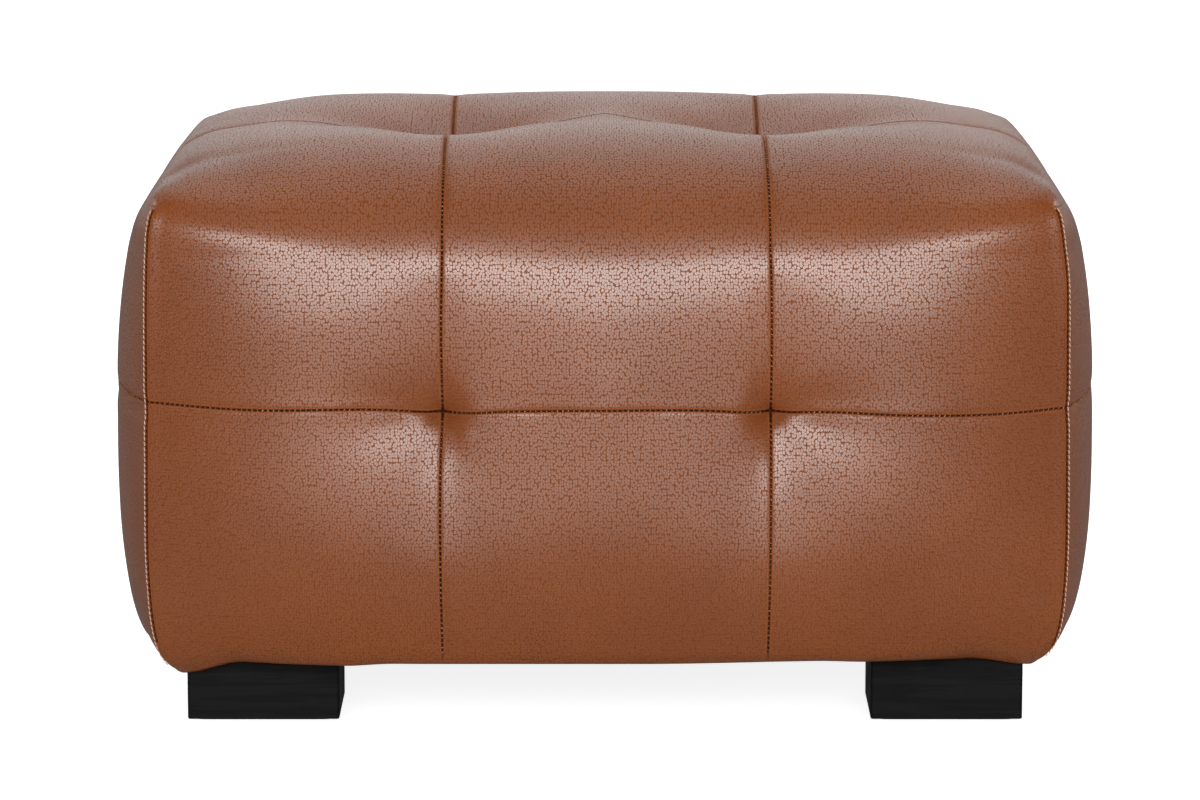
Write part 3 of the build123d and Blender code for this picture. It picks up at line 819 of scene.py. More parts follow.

# Rubbed wear at the turned edges of the leather and painted shade in the seam grooves, in millimetres from the
# nearest seam
seamRubAndShade = {
    "shadowFrom": 0.3,  # share of the shadow's reach
    "rubPlace": 1.7,
    "dashes": (-0.9, -0.2, 0.45, 1.0),  # the shadow is lighter between the stitches
    "turnedIn": (1.2, 4.0),
}
seamGroup, entry, leave = newGroup(
    "Seam rub and painted shade", {"Shadow Reach": 1.5, "Rub Reach": 3.0}, ("Shadow", "Rub", "Turned In"),
)
tree = seamGroup
seamDistance = savedValue(tree, "seamDistance")
# painted shade in the seam groove, fading out from the seam and lighter between the stitches
inShadow = mathNode(tree, "DIVIDE", seamDistance, entry["Shadow Reach"])
shadow = stretched(tree, inShadow, seamRubAndShade["shadowFrom"], 1.0, 1.0, 0.0)
offCentre = mathNode(tree, "ABSOLUTE", mathNode(tree, "SUBTRACT", seamDistance, seamRubAndShade["rubPlace"]))
rub = stretched(tree, mathNode(tree, "DIVIDE", offCentre, entry["Rub Reach"]), 0.0, 0.5, 1.0, 0.0)
turns = mathNode(tree, "MULTIPLY", savedValue(tree, "seamRun"), 2 * math.pi / seamForm["stitchPitch"])
dashes = stretched(tree, mathNode(tree, "SINE", turns), *seamRubAndShade["dashes"])
feed(tree, leave["Shadow"], mathNode(tree, "MULTIPLY", shadow, dashes))
feed(tree, leave["Turned In"], stretched(tree, seamDistance, *seamRubAndShade["turnedIn"], 1.0, 0.0))
feed(tree, leave["Rub"], rub)

# Grain of wood, running along one axis
woodGroup, entry, leave = newGroup(
    "Wood grain", {"Stretch": (3.0, 60.0, 60.0), "Rings": 5.0}, ("Mask", "Height"),
)
tree = woodGroup
woodPlace = vectorMath(tree, "MULTIPLY", objectCoordinates(tree), entry["Stretch"])
woodNoise = noise(tree, woodPlace, 1.0, 6.0, Roughness=0.6, Distortion=0.4)["Fac"]
turns = mathNode(tree, "MULTIPLY", woodNoise, mathNode(tree, "MULTIPLY", entry["Rings"], 2 * math.pi))
ringMask = stretched(tree, mathNode(tree, "SINE", turns), -0.8, 0.9)
feed(tree, leave["Mask"], ringMask)
feed(tree, leave["Height"], mathNode(tree, "MULTIPLY_ADD", ringMask, 0.4, woodNoise))

# Plain weave, its threads along two axes
weaveGroup, entry, leave = newGroup("Plain weave", {"Threads Per Metre": 500.0}, ("Height", "Gaps"))
tree = weaveGroup
weavePlace = addNode(tree, "ShaderNodeSeparateXYZ", Vector=objectCoordinates(tree)).outputs
turns = mathNode(tree, "MULTIPLY", entry["Threads Per Metre"], math.pi)
waves = [mathNode(tree, "SINE", mathNode(tree, "MULTIPLY", weavePlace[axis], turns)) for axis in ("X", "Y")]
weaveHeight = mathNode(tree, "ADD", *(mathNode(tree, "ABSOLUTE", wave) for wave in waves))
feed(tree, leave["Height"], weaveHeight)
feed(tree, leave["Gaps"], stretched(tree, weaveHeight, 0.2, 0.7, 1.0, 0.0))


def placeGroup(tree, group, **values):
    node = tree.nodes.new("ShaderNodeGroup")
    node.node_tree = group
    for key, value in values.items():
        node.inputs[key.replace("_", " ")].default_value = value
    return node.outputs


def newMaterial(name, roughness, metallic=0.0, specular=0.5, sheen=0.0):
    material = bpy.data.materials.new(name)
    material.use_nodes = True
    inputs = material.node_tree.nodes["Principled BSDF"].inputs
    inputs["Roughness"].default_value = roughness
    inputs["Metallic"].default_value = metallic
    inputs["Specular IOR Level"].default_value = specular
    inputs["Sheen Weight"].default_value = sheen
    return material, material.node_tree, inputs


def feedBump(tree, inputs, height, distance, strength):
    bump = addNode(tree, "ShaderNodeBump", Height=height, Distance=distance, Strength=strength)
    feed(tree, inputs["Normal"], bump.outputs[0])


leatherFinish = {
    "tan": (0.264, 0.066, 0.0098),
    "deep": (0.205, 0.0487, 0.0066),
    # dirt and painted shade in the grain's creases
    "creaseDirtAndShade": (0.085, 0.02, 0.004),
    "rubbed": (0.36, 0.13, 0.06),
    # painted shade in the seam grooves
    "seam": (0.04, 0.006, 0.001),
    "mottleShare": 0.55,
    "fleckShare": 0.18,
    "creaseShare": 0.3,
    "rubShare": 0.22,
    "seamShare": 0.9,
    "roughness": 0.39,
    "rougher": (0.06, 0.08, 0.5),  # in its mottles, its creases and its seams
    "specular": 0.12,
    "coatRoughness": 0.25,
    "coatIndex": 1.8,
    "relief": (0.00021, 1.0),
}
leather, tree, inputs = newMaterial("Tan leather", leatherFinish["roughness"], specular=leatherFinish["specular"])
grain = placeGroup(tree, grainGroup)
mottle = placeGroup(tree, toneGroup, Scale=9.0, Low=0.3, High=0.72)["Mask"]
flecks = placeGroup(tree, toneGroup, Scale=120.0, Low=0.3, High=0.75)["Mask"]
edgeRubAndShade = placeGroup(tree, seamGroup)
# tone mottles and flecks, then dirt with painted shade in the creases, rubbed edges, and painted shade in the seams
colour = leatherFinish["tan"]
for mask, share, tone in (
    (mottle, "mottleShare", "deep"), (flecks, "fleckShare", "deep"), (grain["Crease"], "creaseShare", "creaseDirtAndShade"),
    (edgeRubAndShade["Rub"], "rubShare", "rubbed"), (edgeRubAndShade["Shadow"], "seamShare", "seam"),
):
    amount = mathNode(tree, "MULTIPLY", mask, leatherFinish[share])
    colour = mixColours(tree, amount, colour, leatherFinish[tone])
feed(tree, inputs["Base Color"], colour)
rough = leatherFinish["roughness"]
for mask, share in zip((mottle, grain["Crease"], edgeRubAndShade["Shadow"]), leatherFinish["rougher"]):
    rough = mathNode(tree, "MULTIPLY_ADD", mask, share, rough)
feed(tree, inputs["Roughness"], rough)
# the clear finish has worn out of the creases and doesn't reach into the seams
inputs["Coat Roughness"].default_value = leatherFinish["coatRoughness"]
inputs["Coat IOR"].default_value = leatherFinish["coatIndex"]
clear, flat = (mathNode(tree, "SUBTRACT", 1.0, mask) for mask in (grain["Crease"], edgeRubAndShade["Turned In"]))
feed(tree, inputs["Coat Weight"], mathNode(tree, "MULTIPLY", clear, flat))
feedBump(tree, inputs, grain["Height"], *leatherFinish["relief"])

threadFinish = {
    "light": (0.5, 0.27, 0.17), "dark": (0.22, 0.09, 0.04),
    "edge": (0.72, 0.47, 0.35),  # of the stitches beside the corner seams
    "roughness": 0.6, "specular": 0.3, "relief": (0.0001, 0.5),
}
thread, tree, inputs = newMaterial("Tan thread", threadFinish["roughness"], specular=threadFinish["specular"])
twist = placeGroup(tree, toneGroup, Scale=700.0)["Mask"]
worn = placeGroup(tree, toneGroup, Scale=170.0, Low=0.32, High=0.55)["Mask"]
colour = mixColours(tree, worn, threadFinish["light"], threadFinish["dark"])
feed(tree, inputs["Base Color"], mixColours(tree, savedValue(tree, "besideSeam"), colour, threadFinish["edge"]))
feedBump(tree, inputs, twist, *threadFinish["relief"])

# The plainer finishes: a pattern goes from the first colour to the second. The relief is its depth in metres
# and its strength; scuffs and lint are the scale of their tone changes, their share, and where they start from.
plainFinishes = {
    "blackWood": {
        "name": "Black stained wood", "group": woodGroup, "effect": {"Stretch": (9.0, 9.0, 170.0), "Rings": 3.0},
        "colours": ((0.0045, 0.0044, 0.0043), (0.0075, 0.0072, 0.007)), "height": "Height",
        "relief": (0.00015, 0.35), "scuffs": (40.0, 0.12, 0.55), "roughness": 0.6, "specular": 0.1,
    },
    "frameWood": {
        "name": "Frame timber", "group": woodGroup, "effect": {"Stretch": (4.0, 55.0, 55.0), "Rings": 4.0},
        "colours": ((0.60, 0.42, 0.24), (0.44, 0.28, 0.14)), "height": "Height", "relief": (0.0003, 0.4),
        "roughness": 0.62, "specular": 0.35,
    },
    "hardboard": {
        "name": "Brown hardboard", "effect": {"Scale": 260.0}, "colours": ((0.26, 0.15, 0.08), (0.17, 0.095, 0.05)),
        "relief": (0.0002, 0.4), "roughness": 0.7, "specular": 0.3,
    },
    "steel": {
        "name": "Zinc plated steel", "effect": {"Scale": 180.0}, "colours": ((0.56, 0.56, 0.55), (0.42, 0.42, 0.43)),
        "scuffs": (180.0, 0.15, 0.28), "roughness": 0.34, "metallic": 1.0,
    },
    "twine": {
        "name": "Twisted twine", "effect": {"Scale": 500.0}, "colours": ((0.66, 0.58, 0.44), (0.50, 0.42, 0.30)),
        "relief": (0.0002, 0.6), "roughness": 0.8, "specular": 0.2, "sheen": 0.2,
    },
    "blackPlastic": {
        "name": "Black plastic", "effect": {"Scale": 300.0}, "colours": ((0.012, 0.012, 0.012), (0.02, 0.02, 0.02)),
        "relief": (0.00008, 0.4), "roughness": 0.45, "specular": 0.45,
    },
    "whiteFibre": {
        "name": "White fibre wadding", "effect": {"Scale": 150.0},
        "colours": ((0.82, 0.82, 0.80), (0.68, 0.68, 0.66)), "relief": (0.001, 0.7),
        "roughness": 0.95, "specular": 0.1, "sheen": 0.3,
    },
    "foam": {
        "name": "Cream foam", "effect": {"Scale": 600.0}, "colours": ((0.78, 0.71, 0.50), (0.64, 0.56, 0.36)),
        "relief": (0.0004, 0.6), "roughness": 0.95, "specular": 0.1,
    },
    "hessian": {
        "name": "Hessian", "group": weaveGroup, "effect": {"Threads_Per_Metre": 420.0}, "mask": "Gaps",
        "colours": ((0.45, 0.32, 0.17), (0.16, 0.10, 0.05)), "height": "Height", "relief": (0.0004, 0.7),
        "roughness": 0.9, "specular": 0.15,
    },
    "blackCloth": {
        "name": "Black lining cloth", "group": weaveGroup, "effect": {"Threads_Per_Metre": 900.0}, "mask": "Gaps",
        "colours": ((0.018, 0.018, 0.019), (0.007, 0.007, 0.007)), "height": "Height", "relief": (0.0002, 0.5),
        "lint": (60.0, 0.4, (0.03, 0.03, 0.032)), "roughness": 0.9, "specular": 0.15,
    },
    "felt": {
        "name": "Grey felt", "effect": {"Scale": 400.0}, "colours": ((0.05, 0.048, 0.045), (0.028, 0.026, 0.024)),
        "relief": (0.0005, 0.7), "roughness": 0.95, "specular": 0.1, "sheen": 0.3,
    },
}


def plainFinish(
    name, effect, colours, group=toneGroup, mask="Mask", height="Mask",
    relief=None, scuffs=None, lint=None, **surface,
):
    material, tree, inputs = newMaterial(name, **surface)
    pattern = placeGroup(tree, group, **effect)
    colour = mixColours(tree, pattern[mask], *colours)
    if lint:
        scale, share, tone = lint
        amount = mathNode(tree, "MULTIPLY", placeGroup(tree, toneGroup, Scale=scale)["Mask"], share)
        colour = mixColours(tree, amount, colour, tone)
    feed(tree, inputs["Base Color"], colour)
    if scuffs:
        scale, share, least = scuffs
        rough = mathNode(tree, "MULTIPLY_ADD", placeGroup(tree, toneGroup, Scale=scale)["Mask"], share, least)
        feed(tree, inputs["Roughness"], rough)
    if relief:
        feedBump(tree, inputs, pattern[height], *relief)
    return material


finishes = {key: plainFinish(**form) for key, form in plainFinishes.items()}
print("materials made:", len(bpy.data.materials))

nodeFinishes = {
    "rail": "frameWood", "post": "frameWood", "dowels": "frameWood", "backer": "hardboard", "screws": "steel",
    "springs": "steel", "clips": "steel", "bolts": "steel", "inserts": "steel", "staples": "steel",
    "cords": "twine", "anchors": "blackPlastic",
}
for name, node in nodes.items():
    words = [word for word in nodeFinishes if word in name]
    isFoot = name.startswith(("foot_front", "foot_back"))
    finish = "blackWood" if isFoot else nodeFinishes[words[0]] if words else None
    for slot in node.material_slots if finish else ():
        slot.material = finishes[finish]


# The leather panels: places of a sheet's rows or columns, with their distances to its two ends
def mirroredSteps(steps, last):
    return last - steps[0][::-1], steps[2][::-1], steps[1][::-1]


wallUpper = denseSteps(seamRow, edgeRow, seamAbove, apexStep, True, False)
topFront = denseSteps(edgeRow, middleRow, apexStep, topStep, True, True)
lowerFront = denseSteps(0, seamRow, seamBelow, seamBelow, False, True)
upperFront = (
    np.concatenate([wallUpper[0], topFront[0][1:]]),
    np.concatenate([wallUpper[1], np.full(len(topFront[0]) - 1, seamForm["otherWall"])]),
    np.concatenate([np.full(len(wallUpper[0]), seamForm["otherWall"]), topFront[2][1:]]),
)
outerLeft = denseSteps(0, leftColumn, cornerSide, outerSide, True, True)
middle = denseSteps(leftColumn, rightColumn, middleSide, middleSide, True, True)
outerRight = mirroredSteps(outerLeft, lastColumn)
sideFront = (topFront[0] - edgeRow, topFront[1], topFront[2])
sideBack = mirroredSteps(sideFront, topRows)


def sheetFrom(padded, sign, wallRowsAt, rowSteps, columnSteps, seams, cornerNormals, turn):
    # a sheet with its borders sunk into their seams; wallRowsAt counts from the hem whichever way it runs
    at, normal = smoothSurface(padded, rowSteps[0], columnSteps[0], sign)
    shape = at.shape[:2]
    distances = {
        "bottom": rowSteps[1][:, None], "top": rowSteps[2][:, None],
        "start": columnSteps[1][None], "end": columnSteps[2][None],
    }
    alongRows, alongColumns = runAlong(at[:, shape[1] // 2]), runAlong(at[shape[0] // 2])
    sunk, gap, run, raised = np.zeros(shape), np.full(shape, seamForm["plainGap"]), np.zeros(shape), np.zeros(shape)
    fadeFrom, fadeOver = seamForm["hemFade"]
    hemFade = easeIn((at[..., 2] - underside - fadeFrom) / fadeOver)
    for border, kind in seams.items():
        d = np.broadcast_to(distances[border], shape)
        strength = hemFade.copy()
        if kind in ("corner", "ridged"):
            below = np.clip(edgeRow - wallRowsAt, 0, None)[:, None]
            strength = strength * easeIn(below / seamForm["cornerFade"])
            near = (hump(d, 0, seamForm["cornerReach"]) * (below > 0))[..., None]
            normal = normal * (1 - near) + cornerNormals(wallRowsAt)[:, None, :] * near
            normal = normal / np.linalg.norm(normal, axis=2, keepdims=True)
        amount = seamDepth(d) * strength
        sunk = np.maximum(sunk, amount)
        raised = np.minimum(raised, amount)
        if kind == "ridged":
            raised = raised - seamForm["ridge"] * strength * hump(d, *seamForm["ridgePlace"])
        reach = d + seamForm["plainGap"] * (1 - strength)
        closer = reach < gap
        gap = np.where(closer, reach, gap)
        along = alongColumns[None] if border in ("bottom", "top") else alongRows[:, None]
        run = np.where(closer, np.broadcast_to(along, shape), run)
    away = np.linalg.norm(at[:, :, None] - tuftPlaces, axis=3).min(2)
    pinch = seamForm["pinch"] * np.exp(-away / seamForm["pinchReach"])
    sunk = np.where(sunk > seamForm["turnedIn"], sunk, sunk + raised) + pinch
    ripple = np.sin(2 * math.pi * run / seamForm["stitchPitch"])
    pucker = seamForm["pucker"] * ripple * hump(gap, *seamForm["puckerPlace"])
    at = at - normal * (sunk + pucker)[..., None]
    index = np.arange(shape[0] * shape[1]).reshape(shape)
    return at.reshape(-1, 3), gridQuads(index, turn < 0), gap.ravel(), run.ravel()


for back in (False, True):
    # the back's rows are listed from the hem too, so its faces are turned round
    row, turn, sideSteps = ("back", -1, sideBack) if back else ("front", 1, sideFront)
    cornerAt, middleAt = ("end", "start") if back else ("start", "end")
    for column, columnSteps in (("left", outerLeft), ("middle", middle), ("right", outerRight)):
        normalsAt = None if column == "middle" else cornerNormalsFor(column, back)
        seams = {"start": "corner" if column == "left" else "seam", "end": "corner" if column == "right" else "seam"}
        sheets = []
        for steps, borders in ((lowerFront, ["top"]), (upperFront, ["bottom", "top"])):
            rowSteps = (lastRow - steps[0], steps[1], steps[2]) if back else steps
            kinds = {**seams, **dict.fromkeys(borders, "seam")}
            sheets.append(sheetFrom(fineStrip, 1, steps[0], rowSteps, columnSteps, kinds, normalsAt, turn))
        title, columnTitle = row.capitalize(), column.capitalize()
        addPanel(f"lowerPanel{title}{columnTitle}", sheets[:1], [f"lower_panel_{row}_{column}"])
        upperParts = sheets[1:]
        if column != "middle":
            sign = -1 if column == "left" else 1
            sideSheets = []
            for steps, border in ((lowerFront, "top"), (wallUpper, "bottom")):
                kinds = {border: "seam", cornerAt: "ridged", middleAt: "seam"}
                sideSheets.append(
                    sheetFrom(fineSides[column], sign, steps[0], steps, sideSteps, kinds, normalsAt, sign)
                )
            addPanel(f"lowerPanel{columnTitle}{title}", sideSheets[:1], [f"lower_panel_{column}_{row}"])
            upperParts.append(sideSheets[1])
        addPanel(f"upperPanel{title}{columnTitle}", upperParts, [f"upper_panel_{row}_{column}"])
print("leather panels sewn")

# Stitches across the seams
stitchForm = {
    "half": 0.9, "radius": 0.45, "depth": 0.15, "slant": 0.6,
    "tuftGap": 7,  # the nearest that one lies to a tuft
    "foldGap": 26, "foldSide": 0.8,  # none shows this near to a tuft on its outer side
    # along the corner seams they lie beside the seam, on the side panels
    "edgeHalf": 1.8, "edgeSlant": 4.5, "edgeAside": 1.6, "edgeDepth": -0.85,
    "sides": 5,
    "rings": ((-1.0, 0.55), (-0.55, 1.0), (0.55, 1.0), (1.0, 0.55)),  # places along a stitch, and its width there
    "belowEdge": 0.6,  # rows that the corner's stitches end below the shoulder's edge
}


def seamLine(padded, rowsAt, columnsAt, sign):
    # points, normals and directions along one seam, at the pitch of its stitches
    at, normal = (grid.reshape(-1, 3) for grid in smoothSurface(padded, rowsAt, columnsAt, sign))
    lengths = runAlong(at)
    places = np.arange(0.5 * seamForm["stitchPitch"], lengths[-1], seamForm["stitchPitch"])
    at, normal = (np.stack([np.interp(places, lengths, grid[:, k]) for k in range(3)], 1) for grid in (at, normal))
    normal /= np.linalg.norm(normal, axis=1, keepdims=True)
    return at, normal, np.gradient(at, axis=0)


def tubeFaces(base, rings, around):
    # the sides and the two ends of a closed stack of rings
    last = base + (rings - 1) * around
    faces = [
        (first + k, first + (k + 1) % around, first + around + (k + 1) % around, first + around + k)
        for first in range(base, last, around)
        for k in range(around)
    ]
    return faces + [tuple(base + k for k in reversed(range(around))), tuple(last + k for k in range(around))]


wallTop = edgeRow - stitchForm["belowEdge"]
seamLines = []
for column in (leftColumn, rightColumn):
    seamLines.append(seamLine(fineStrip, np.linspace(hemRows, lastRow - hemRows, 900), [column], 1))
for name, sign, column in (("left", -1, 0), ("right", 1, lastColumn)):
    seamLines.append(seamLine(fineSides[name], np.linspace(hemRows, edgeRow, 220), [topRows // 2], sign))
    seamLines.append(seamLine(fineSides[name], [seamRow], np.linspace(0, topRows, 300), sign))
    for back in (False, True):
        rowsAt = np.linspace(hemRows, wallTop, 220)
        at, _, direction = seamLine(fineStrip, lastRow - rowsAt if back else rowsAt, [column], 1)
        halfway = cornerNormalsFor(name, back)(np.linspace(hemRows, wallTop, len(at)))
        seamLines.append((at, halfway, direction, "edge"))
for rowAt in seamRows:
    seamLines.append(seamLine(fineStrip, [rowAt], np.linspace(0, lastColumn, 400), 1))

ringAngles = np.linspace(0, 2 * math.pi, stitchForm["sides"] + 1)[:-1]
stitchPoints, stitchFaces, besideSeam = [], [], []
for at, normal, direction, *edge in seamLines:
    direction = direction / np.linalg.norm(direction, axis=1, keepdims=True)
    across = np.cross(normal, direction)
    across /= np.linalg.norm(across, axis=1, keepdims=True)
    keys = ("edgeHalf", "edgeSlant", "edgeDepth") if edge else ("half", "slant", "depth")
    half, slant, sunkBy = (stitchForm[key] for key in keys)
    axis = across + slant * direction
    axis /= np.linalg.norm(axis, axis=1, keepdims=True)
    other = np.cross(normal, axis)
    offsets = at[:, None] - tuftPlaces
    away = np.linalg.norm(offsets, axis=2)
    nearest, rows, least = away.argmin(1), np.arange(len(at)), away.min(1)
    outward = offsets[rows, nearest, 0] * np.sign(tuftPlaces[nearest, 0]) / (away[rows, nearest] + 1e-6)
    inFold = (least < stitchForm["foldGap"]) & (outward > stitchForm["foldSide"])
    shown = ~((least < stitchForm["tuftGap"]) | inFold)
    centre = at - normal * sunkBy
    if edge:
        centre = centre + across * np.sign(across[:, :1] * at[:, :1]) * stitchForm["edgeAside"]
    for c, n, a, o in zip(centre[shown], normal[shown], axis[shown], other[shown]):
        stitchFaces += tubeFaces(len(stitchPoints), len(stitchForm["rings"]), stitchForm["sides"])
        for along, wide in stitchForm["rings"]:
            for angle in ringAngles:
                ring = (math.cos(angle) * n + math.sin(angle) * o) * stitchForm["radius"] * wide
                stitchPoints.append(c + a * along * half + ring)
                besideSeam.append(len(edge))
mesh = meshFrom("seamStitches", stitchPoints, stitchFaces)
keepValues(mesh, "besideSeam", besideSeam)
addPiece("seamStitches", mesh, thread)
print("stitches made:", len(stitchPoints) // (len(stitchForm["rings"]) * stitchForm["sides"]))

# Padding under the cover, hollow over the frame
paddingForm = {
    "wrapFrom": 5.2, "wrapTo": 9.5, "foamFrom": 9.8,  # below the leather
    "cavityGap": 0.4,
    "hemGap": 3.5,
    "tuftRoom": 9, "tuftReach": 22,  # how much deeper it lies at the tufts, and how far round them
    "smoothing": (0.4, 3),
}
frameLow, frameHigh = nodeBox("backer_front")
halfFrameX, halfFrameY = frameHigh[0] + paddingForm["cavityGap"], -frameLow[1] + paddingForm["cavityGap"]
cavityTop = nodeBox("spring_cover")[1][2] + paddingForm["cavityGap"]
paddingBottom = underside + paddingForm["hemGap"]
share, rounds = paddingForm["smoothing"]
smoothCover = relaxed(shaped, np.full(len(shaped), share), rounds)
coverNormals = pointNormals(smoothCover)
tuftAway = np.linalg.norm(shaped[:, None] - tuftPlaces, axis=2).min(1)
tuftRoom = paddingForm["tuftRoom"] * hump(tuftAway, 0, paddingForm["tuftReach"])


def insetCover(distance):
    at = smoothCover - coverNormals * (distance + tuftRoom)[:, None]
    return np.stack([at[:, 0], at[:, 1], np.maximum(at[:, 2], paddingBottom)], 1)


def cavityCover():
    # the cover's own grid drawn onto the box that the frame fills
    at = np.zeros_like(shaped)
    heights = np.linspace(paddingBottom, cavityTop, edgeRow + 1)
    columns, ends = [0, leftColumn, rightColumn, lastColumn], [-halfFrameX, -seamX, seamX, halfFrameX]
    xs = np.interp(np.arange(lastColumn + 1), columns, ends)
    ys = np.interp(np.arange(topRows + 1), [0, topRows], [-halfFrameY, halfFrameY])
    for row, z in enumerate(heights):
        for sign, atRow in ((-1, row), (1, lastRow - row)):
            at[stripIndex[atRow]] = np.stack([xs, np.full_like(xs, sign * halfFrameY), np.full_like(xs, z)], 1)
        for sign, index in ((-1, sideIndex["left"]), (1, sideIndex["right"])):
            at[index[row]] = np.stack([np.full_like(ys, sign * halfFrameX), ys, np.full_like(ys, z)], 1)
    for step, y in enumerate(ys):
        at[stripIndex[edgeRow + step]] = np.stack([xs, np.full_like(xs, y), np.full_like(xs, cavityTop)], 1)
    return at


def paddingShell(name, outer, inner, finish, replaced):
    count = len(outer)
    hem = np.concatenate([
        stripIndex[0], sideIndex["right"][0][1:], stripIndex[lastRow][::-1][1:], sideIndex["left"][0][::-1][1:],
    ])
    ring = np.stack([hem[1:], hem[:-1], hem[:-1] + count, hem[1:] + count], 1)
    faces = np.concatenate([quads, quads[:, ::-1] + count, ring])
    mesh = meshFrom(name, np.concatenate([outer, inner]), faces)
    addPiece(name, mesh, finish, replaced)


paddingShell(
    "fibreWrapping", insetCover(paddingForm["wrapFrom"]), insetCover(paddingForm["wrapTo"]), finishes["whiteFibre"],
    ["fibre_wrap"],
)
paddingShell(
    "foamBody", insetCover(paddingForm["foamFrom"]), cavityCover(), finishes["foam"],
    ["top_foam", "front_foam", "back_foam", "left_foam", "right_foam"],
)
print("padding made")

# Cloths, which sag a little between their edges
clothForm = {
    "coverSag": 0.35, "hessianWave": 0.12,
    "cells": 10,
    "ripple": (0.25, 9, 4, 7),  # share of the sag, and how often it turns
    "hang": 0.3,  # share of the sag all over
}


def clothSheet(name, node, sag, finish):
    low, high = nodeBox(node)
    size = high - low
    counts = (size[:2] / clothForm["cells"]).astype(int) + 1
    x, y = np.meshgrid(*(np.linspace(low[k], high[k], counts[k]) for k in (0, 1)), indexing="ij")
    u, v = (x - low[0]) / size[0], (y - low[1]) / size[1]
    share, turnsU, turnsV, turnsAcross = clothForm["ripple"]
    ripple = share * np.sin(turnsU * u + turnsV * v) * np.sin(turnsAcross * v)
    dip = sag * (np.sin(math.pi * u) * np.sin(math.pi * v) + ripple)
    thickness = size[2] - sag if size[2] > sag * 2 else size[2] * 0.5
    top = np.stack([x, y, high[2] - dip - sag * clothForm["hang"]], -1).reshape(-1, 3)
    index = np.arange(len(top)).reshape(x.shape)
    rim = np.concatenate([index[:, 0], index[-1, 1:], index[::-1, -1][1:], index[0, ::-1][1:]])
    rimFaces = np.stack([rim[:-1], rim[1:], rim[1:] + len(top), rim[:-1] + len(top)], 1)[:, ::-1]
    faces = np.concatenate([gridQuads(index, True), gridQuads(index + len(top), False), rimFaces])
    mesh = meshFrom(name, np.concatenate([top, top - (0, 0, thickness)]), faces)
    piece = addPiece(name, mesh, finish, [node])


clothSheet(
    "liningCloth", "dust_cover", clothForm["coverSag"], finishes["blackCloth"],
)
clothSheet(
    "springHessian", "spring_cover", clothForm["hessianWave"], finishes["hessian"],
)

# Felt pads with soft edges: how far each ring is cut back, and its height or how far it lies below the top
feltForm = {
    "around": 32, "squareness": 0.12,
    "lowRings": ((1.4, 0.0), (0.5, 0.12), (0, 0.6)), "highRings": ((0, 0.2), (0.3, 0)),
}
padHigh = nodeBox("foot_pads")[1]
feltRings = [*feltForm["lowRings"], *((trim, padHigh[2] - below) for trim, below in feltForm["highRings"])]
feltPoints, feltFaces = [], []
for name in ("front_left", "front_right", "back_left", "back_right"):
    low, high = nodeBox("foot_" + name)
    centre = (low + high) / 2
    halves = np.minimum(padHigh - np.abs(centre), (high - low) / 2)
    feltFaces += tubeFaces(len(feltPoints), len(feltRings), feltForm["around"])
    for trim, z in feltRings:
        for angle in 2 * math.pi * (np.arange(feltForm["around"]) + 0.5) / feltForm["around"]:
            turns = np.array([math.cos(angle), math.sin(angle)])
            aside = np.copysign(np.abs(turns) ** feltForm["squareness"], turns) * (halves[:2] - trim)
            feltPoints.append((*(centre[:2] + aside), z))
mesh = meshFrom("footFelts", feltPoints, feltFaces)
addPiece("footFelts", mesh, finishes["felt"], ["foot_pads"], smooth=False)
print("cloths and felts made")

# The studio, in metres
studio = {
    "floorRadius": 9.0,
    "floorSides": 96,
    "floorTone": 0.82,
    "floorGlow": (0.6, 2.0, 0.84, 1.0),  # from and to which distance it goes from one glow to the other
    "ambient": 0.42,
    # the pale room as shiny surfaces see it: in front of the object, and its share by the direction's x
    "gloss": 0.45, "glossFade": (0.08, 0.36),
    "sideGloss": (-0.1, 0.3, 0.02, 0.3),  # from before to behind the object, by the direction's y
    # the floor as they see it: around the object and further to the front, from and to which y and x
    "floorGloss": 0.16, "frontGloss": (-1.7, -0.8, 1.1, 0.0), "frontWidth": (0.35, 1.1),
}
frontLamp = {"place": (-0.06, -3.0, 1.11), "aim": (-0.03, -0.3, 0.36), "size": (2.7, 1.16)}
topLamp = {"place": (0, 0.2, 3.0), "aim": (0, 0, 0.4), "size": (1.6, 1.0), "shines": False}
lowLamp = {"place": (0, -2.4, 0.3), "aim": (0, 0, 0.2), "size": (2.4, 0.3), "shines": False}
sideLamp = {"aim": (0, 0, 0.25), "size": (1.4, 1.2)}
lamps = [
    {"name": "keyLight", **frontLamp, "watts": 43},
    {"name": "shineLight", **frontLamp, "watts": 66, "lights": False},
    {"name": "topLight", **topLamp, "watts": 19},
    {"name": "lowLight", **lowLamp, "watts": 5},
    {"name": "sideLight", "place": (-2.4, 0.9, 1.1), **sideLamp, "watts": 12},
    {"name": "sideLight", "place": (2.4, 0.9, 1.1), **sideLamp, "watts": 20},
]


def softLight(name, place, aim, size, watts, shines=True, lights=True):
    light = bpy.data.lights.new(name, "AREA")
    light.shape, light.size, light.size_y = "RECTANGLE", size[0], size[1]
    light.energy = watts
    lamp = bpy.data.objects.new(name, light)
    bpy.context.scene.collection.objects.link(lamp)
    lamp.location = place
    lamp.rotation_euler = (Vector(aim) - Vector(place)).to_track_quat("-Z", "Y").to_euler()
    lamp.visible_camera = False
    lamp.visible_glossy = shines
    lamp.visible_diffuse = lights


for form in lamps:
    softLight(**form)

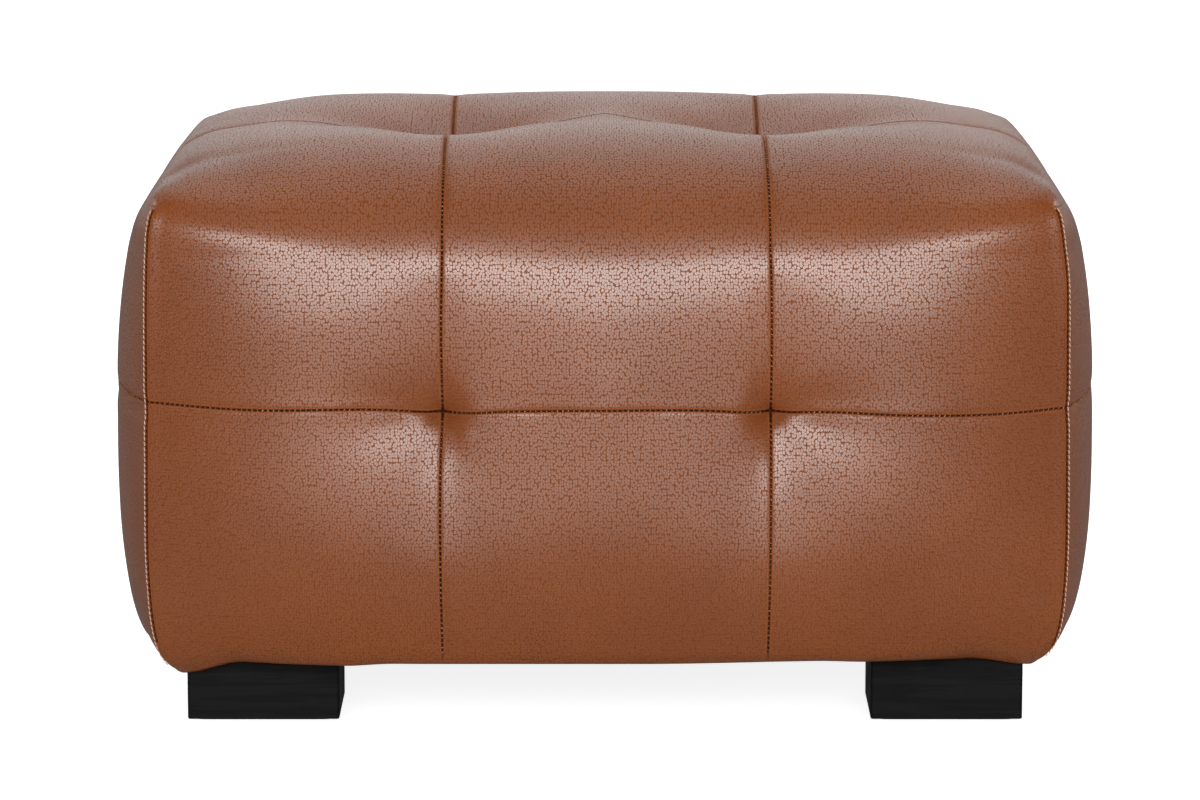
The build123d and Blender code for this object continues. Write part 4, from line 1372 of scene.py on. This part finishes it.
world = bpy.data.worlds.new("whiteStudio")
bpy.context.scene.world = world
world.use_nodes = True
tree = world.node_tree
background = tree.nodes["Background"].inputs
path = addNode(tree, "ShaderNodeLightPath").outputs
seen = mathNode(tree, "ADD", path["Is Camera Ray"], path["Is Transmission Ray"], clamp=True)
direction = addNode(tree, "ShaderNodeTexCoord").outputs["Generated"]
direction = addNode(tree, "ShaderNodeSeparateXYZ", Vector=direction).outputs
sideways = stretched(tree, direction["Y"], *studio["sideGloss"])
inFront = stretched(tree, mathNode(tree, "ABSOLUTE", direction["X"]), *studio["glossFade"], 1.0, 0.0)
room = mathNode(tree, "MULTIPLY_ADD", inFront, studio["gloss"], sideways)
shown = mathNode(tree, "MAXIMUM", seen, mathNode(tree, "MULTIPLY", path["Is Glossy Ray"], room))
lit = mathNode(tree, "SUBTRACT", 1.0, mathNode(tree, "MAXIMUM", seen, path["Is Glossy Ray"]))
feed(tree, background["Strength"], mathNode(tree, "MULTIPLY_ADD", lit, studio["ambient"], shown))
background["Color"].default_value = (1, 1, 1, 1)

floorMesh = bpy.data.meshes.new("studioFloor")
angles = np.linspace(0, 2 * math.pi, studio["floorSides"] + 1)[:-1]
ring = [(studio["floorRadius"] * math.cos(angle), studio["floorRadius"] * math.sin(angle), 0) for angle in angles]
floorMesh.from_pydata(ring, [], [tuple(range(studio["floorSides"]))])
floor = bpy.data.objects.new("studioFloor", floorMesh)
bpy.context.scene.collection.objects.link(floor)
floorFinish, tree, inputs = newMaterial("Pale floor", 0.8, specular=0.2)
inputs["Base Color"].default_value = (*[studio["floorTone"]] * 3, 1)
inputs["Emission Color"].default_value = (1, 1, 1, 1)
path = addNode(tree, "ShaderNodeLightPath").outputs
floorPlace = objectCoordinates(tree)
fromMiddle = addNode(tree, "ShaderNodeVectorMath", {"operation": "LENGTH"}, i0=floorPlace).outputs["Value"]
glow = stretched(tree, fromMiddle, *studio["floorGlow"])
feed(tree, inputs["Emission Strength"], mathNode(tree, "MULTIPLY", path["Is Camera Ray"], glow))
alongFloor = addNode(tree, "ShaderNodeSeparateXYZ", Vector=floorPlace).outputs
ahead = stretched(tree, alongFloor["Y"], *studio["frontGloss"])
central = stretched(tree, mathNode(tree, "ABSOLUTE", alongFloor["X"]), *studio["frontWidth"], 1.0, 0.0)
reflectedGlow = mathNode(tree, "MULTIPLY_ADD", ahead, central, studio["floorGloss"])
reflected = addNode(tree, "ShaderNodeEmission", Color=(1, 1, 1, 1), Strength=reflectedGlow).outputs[0]
plain = tree.nodes["Principled BSDF"].outputs[0]
split = addNode(tree, "ShaderNodeMixShader", i0=path["Is Glossy Ray"], i1=plain, i2=reflected)
feed(tree, tree.nodes["Material Output"].inputs["Surface"], split.outputs[0])
floorMesh.materials.append(floorFinish)

cameraView = {"place": (0, -4.456, 1.0107), "pitch": 9.99, "lens": 157.3, "sensor": 36, "shiftX": -5 / 1200}
cameraData = bpy.data.cameras.new("photoCamera")
cameraData.lens, cameraData.sensor_width = cameraView["lens"], cameraView["sensor"]
cameraData.shift_x = cameraView["shiftX"]
camera = bpy.data.objects.new("photoCamera", cameraData)
bpy.context.scene.collection.objects.link(camera)
camera.location = cameraView["place"]
camera.rotation_euler = (math.radians(90 - cameraView["pitch"]), 0, 0)
bpy.context.scene.camera = camera
bpy.context.scene.view_settings.view_transform = "Standard"
print("studio set")
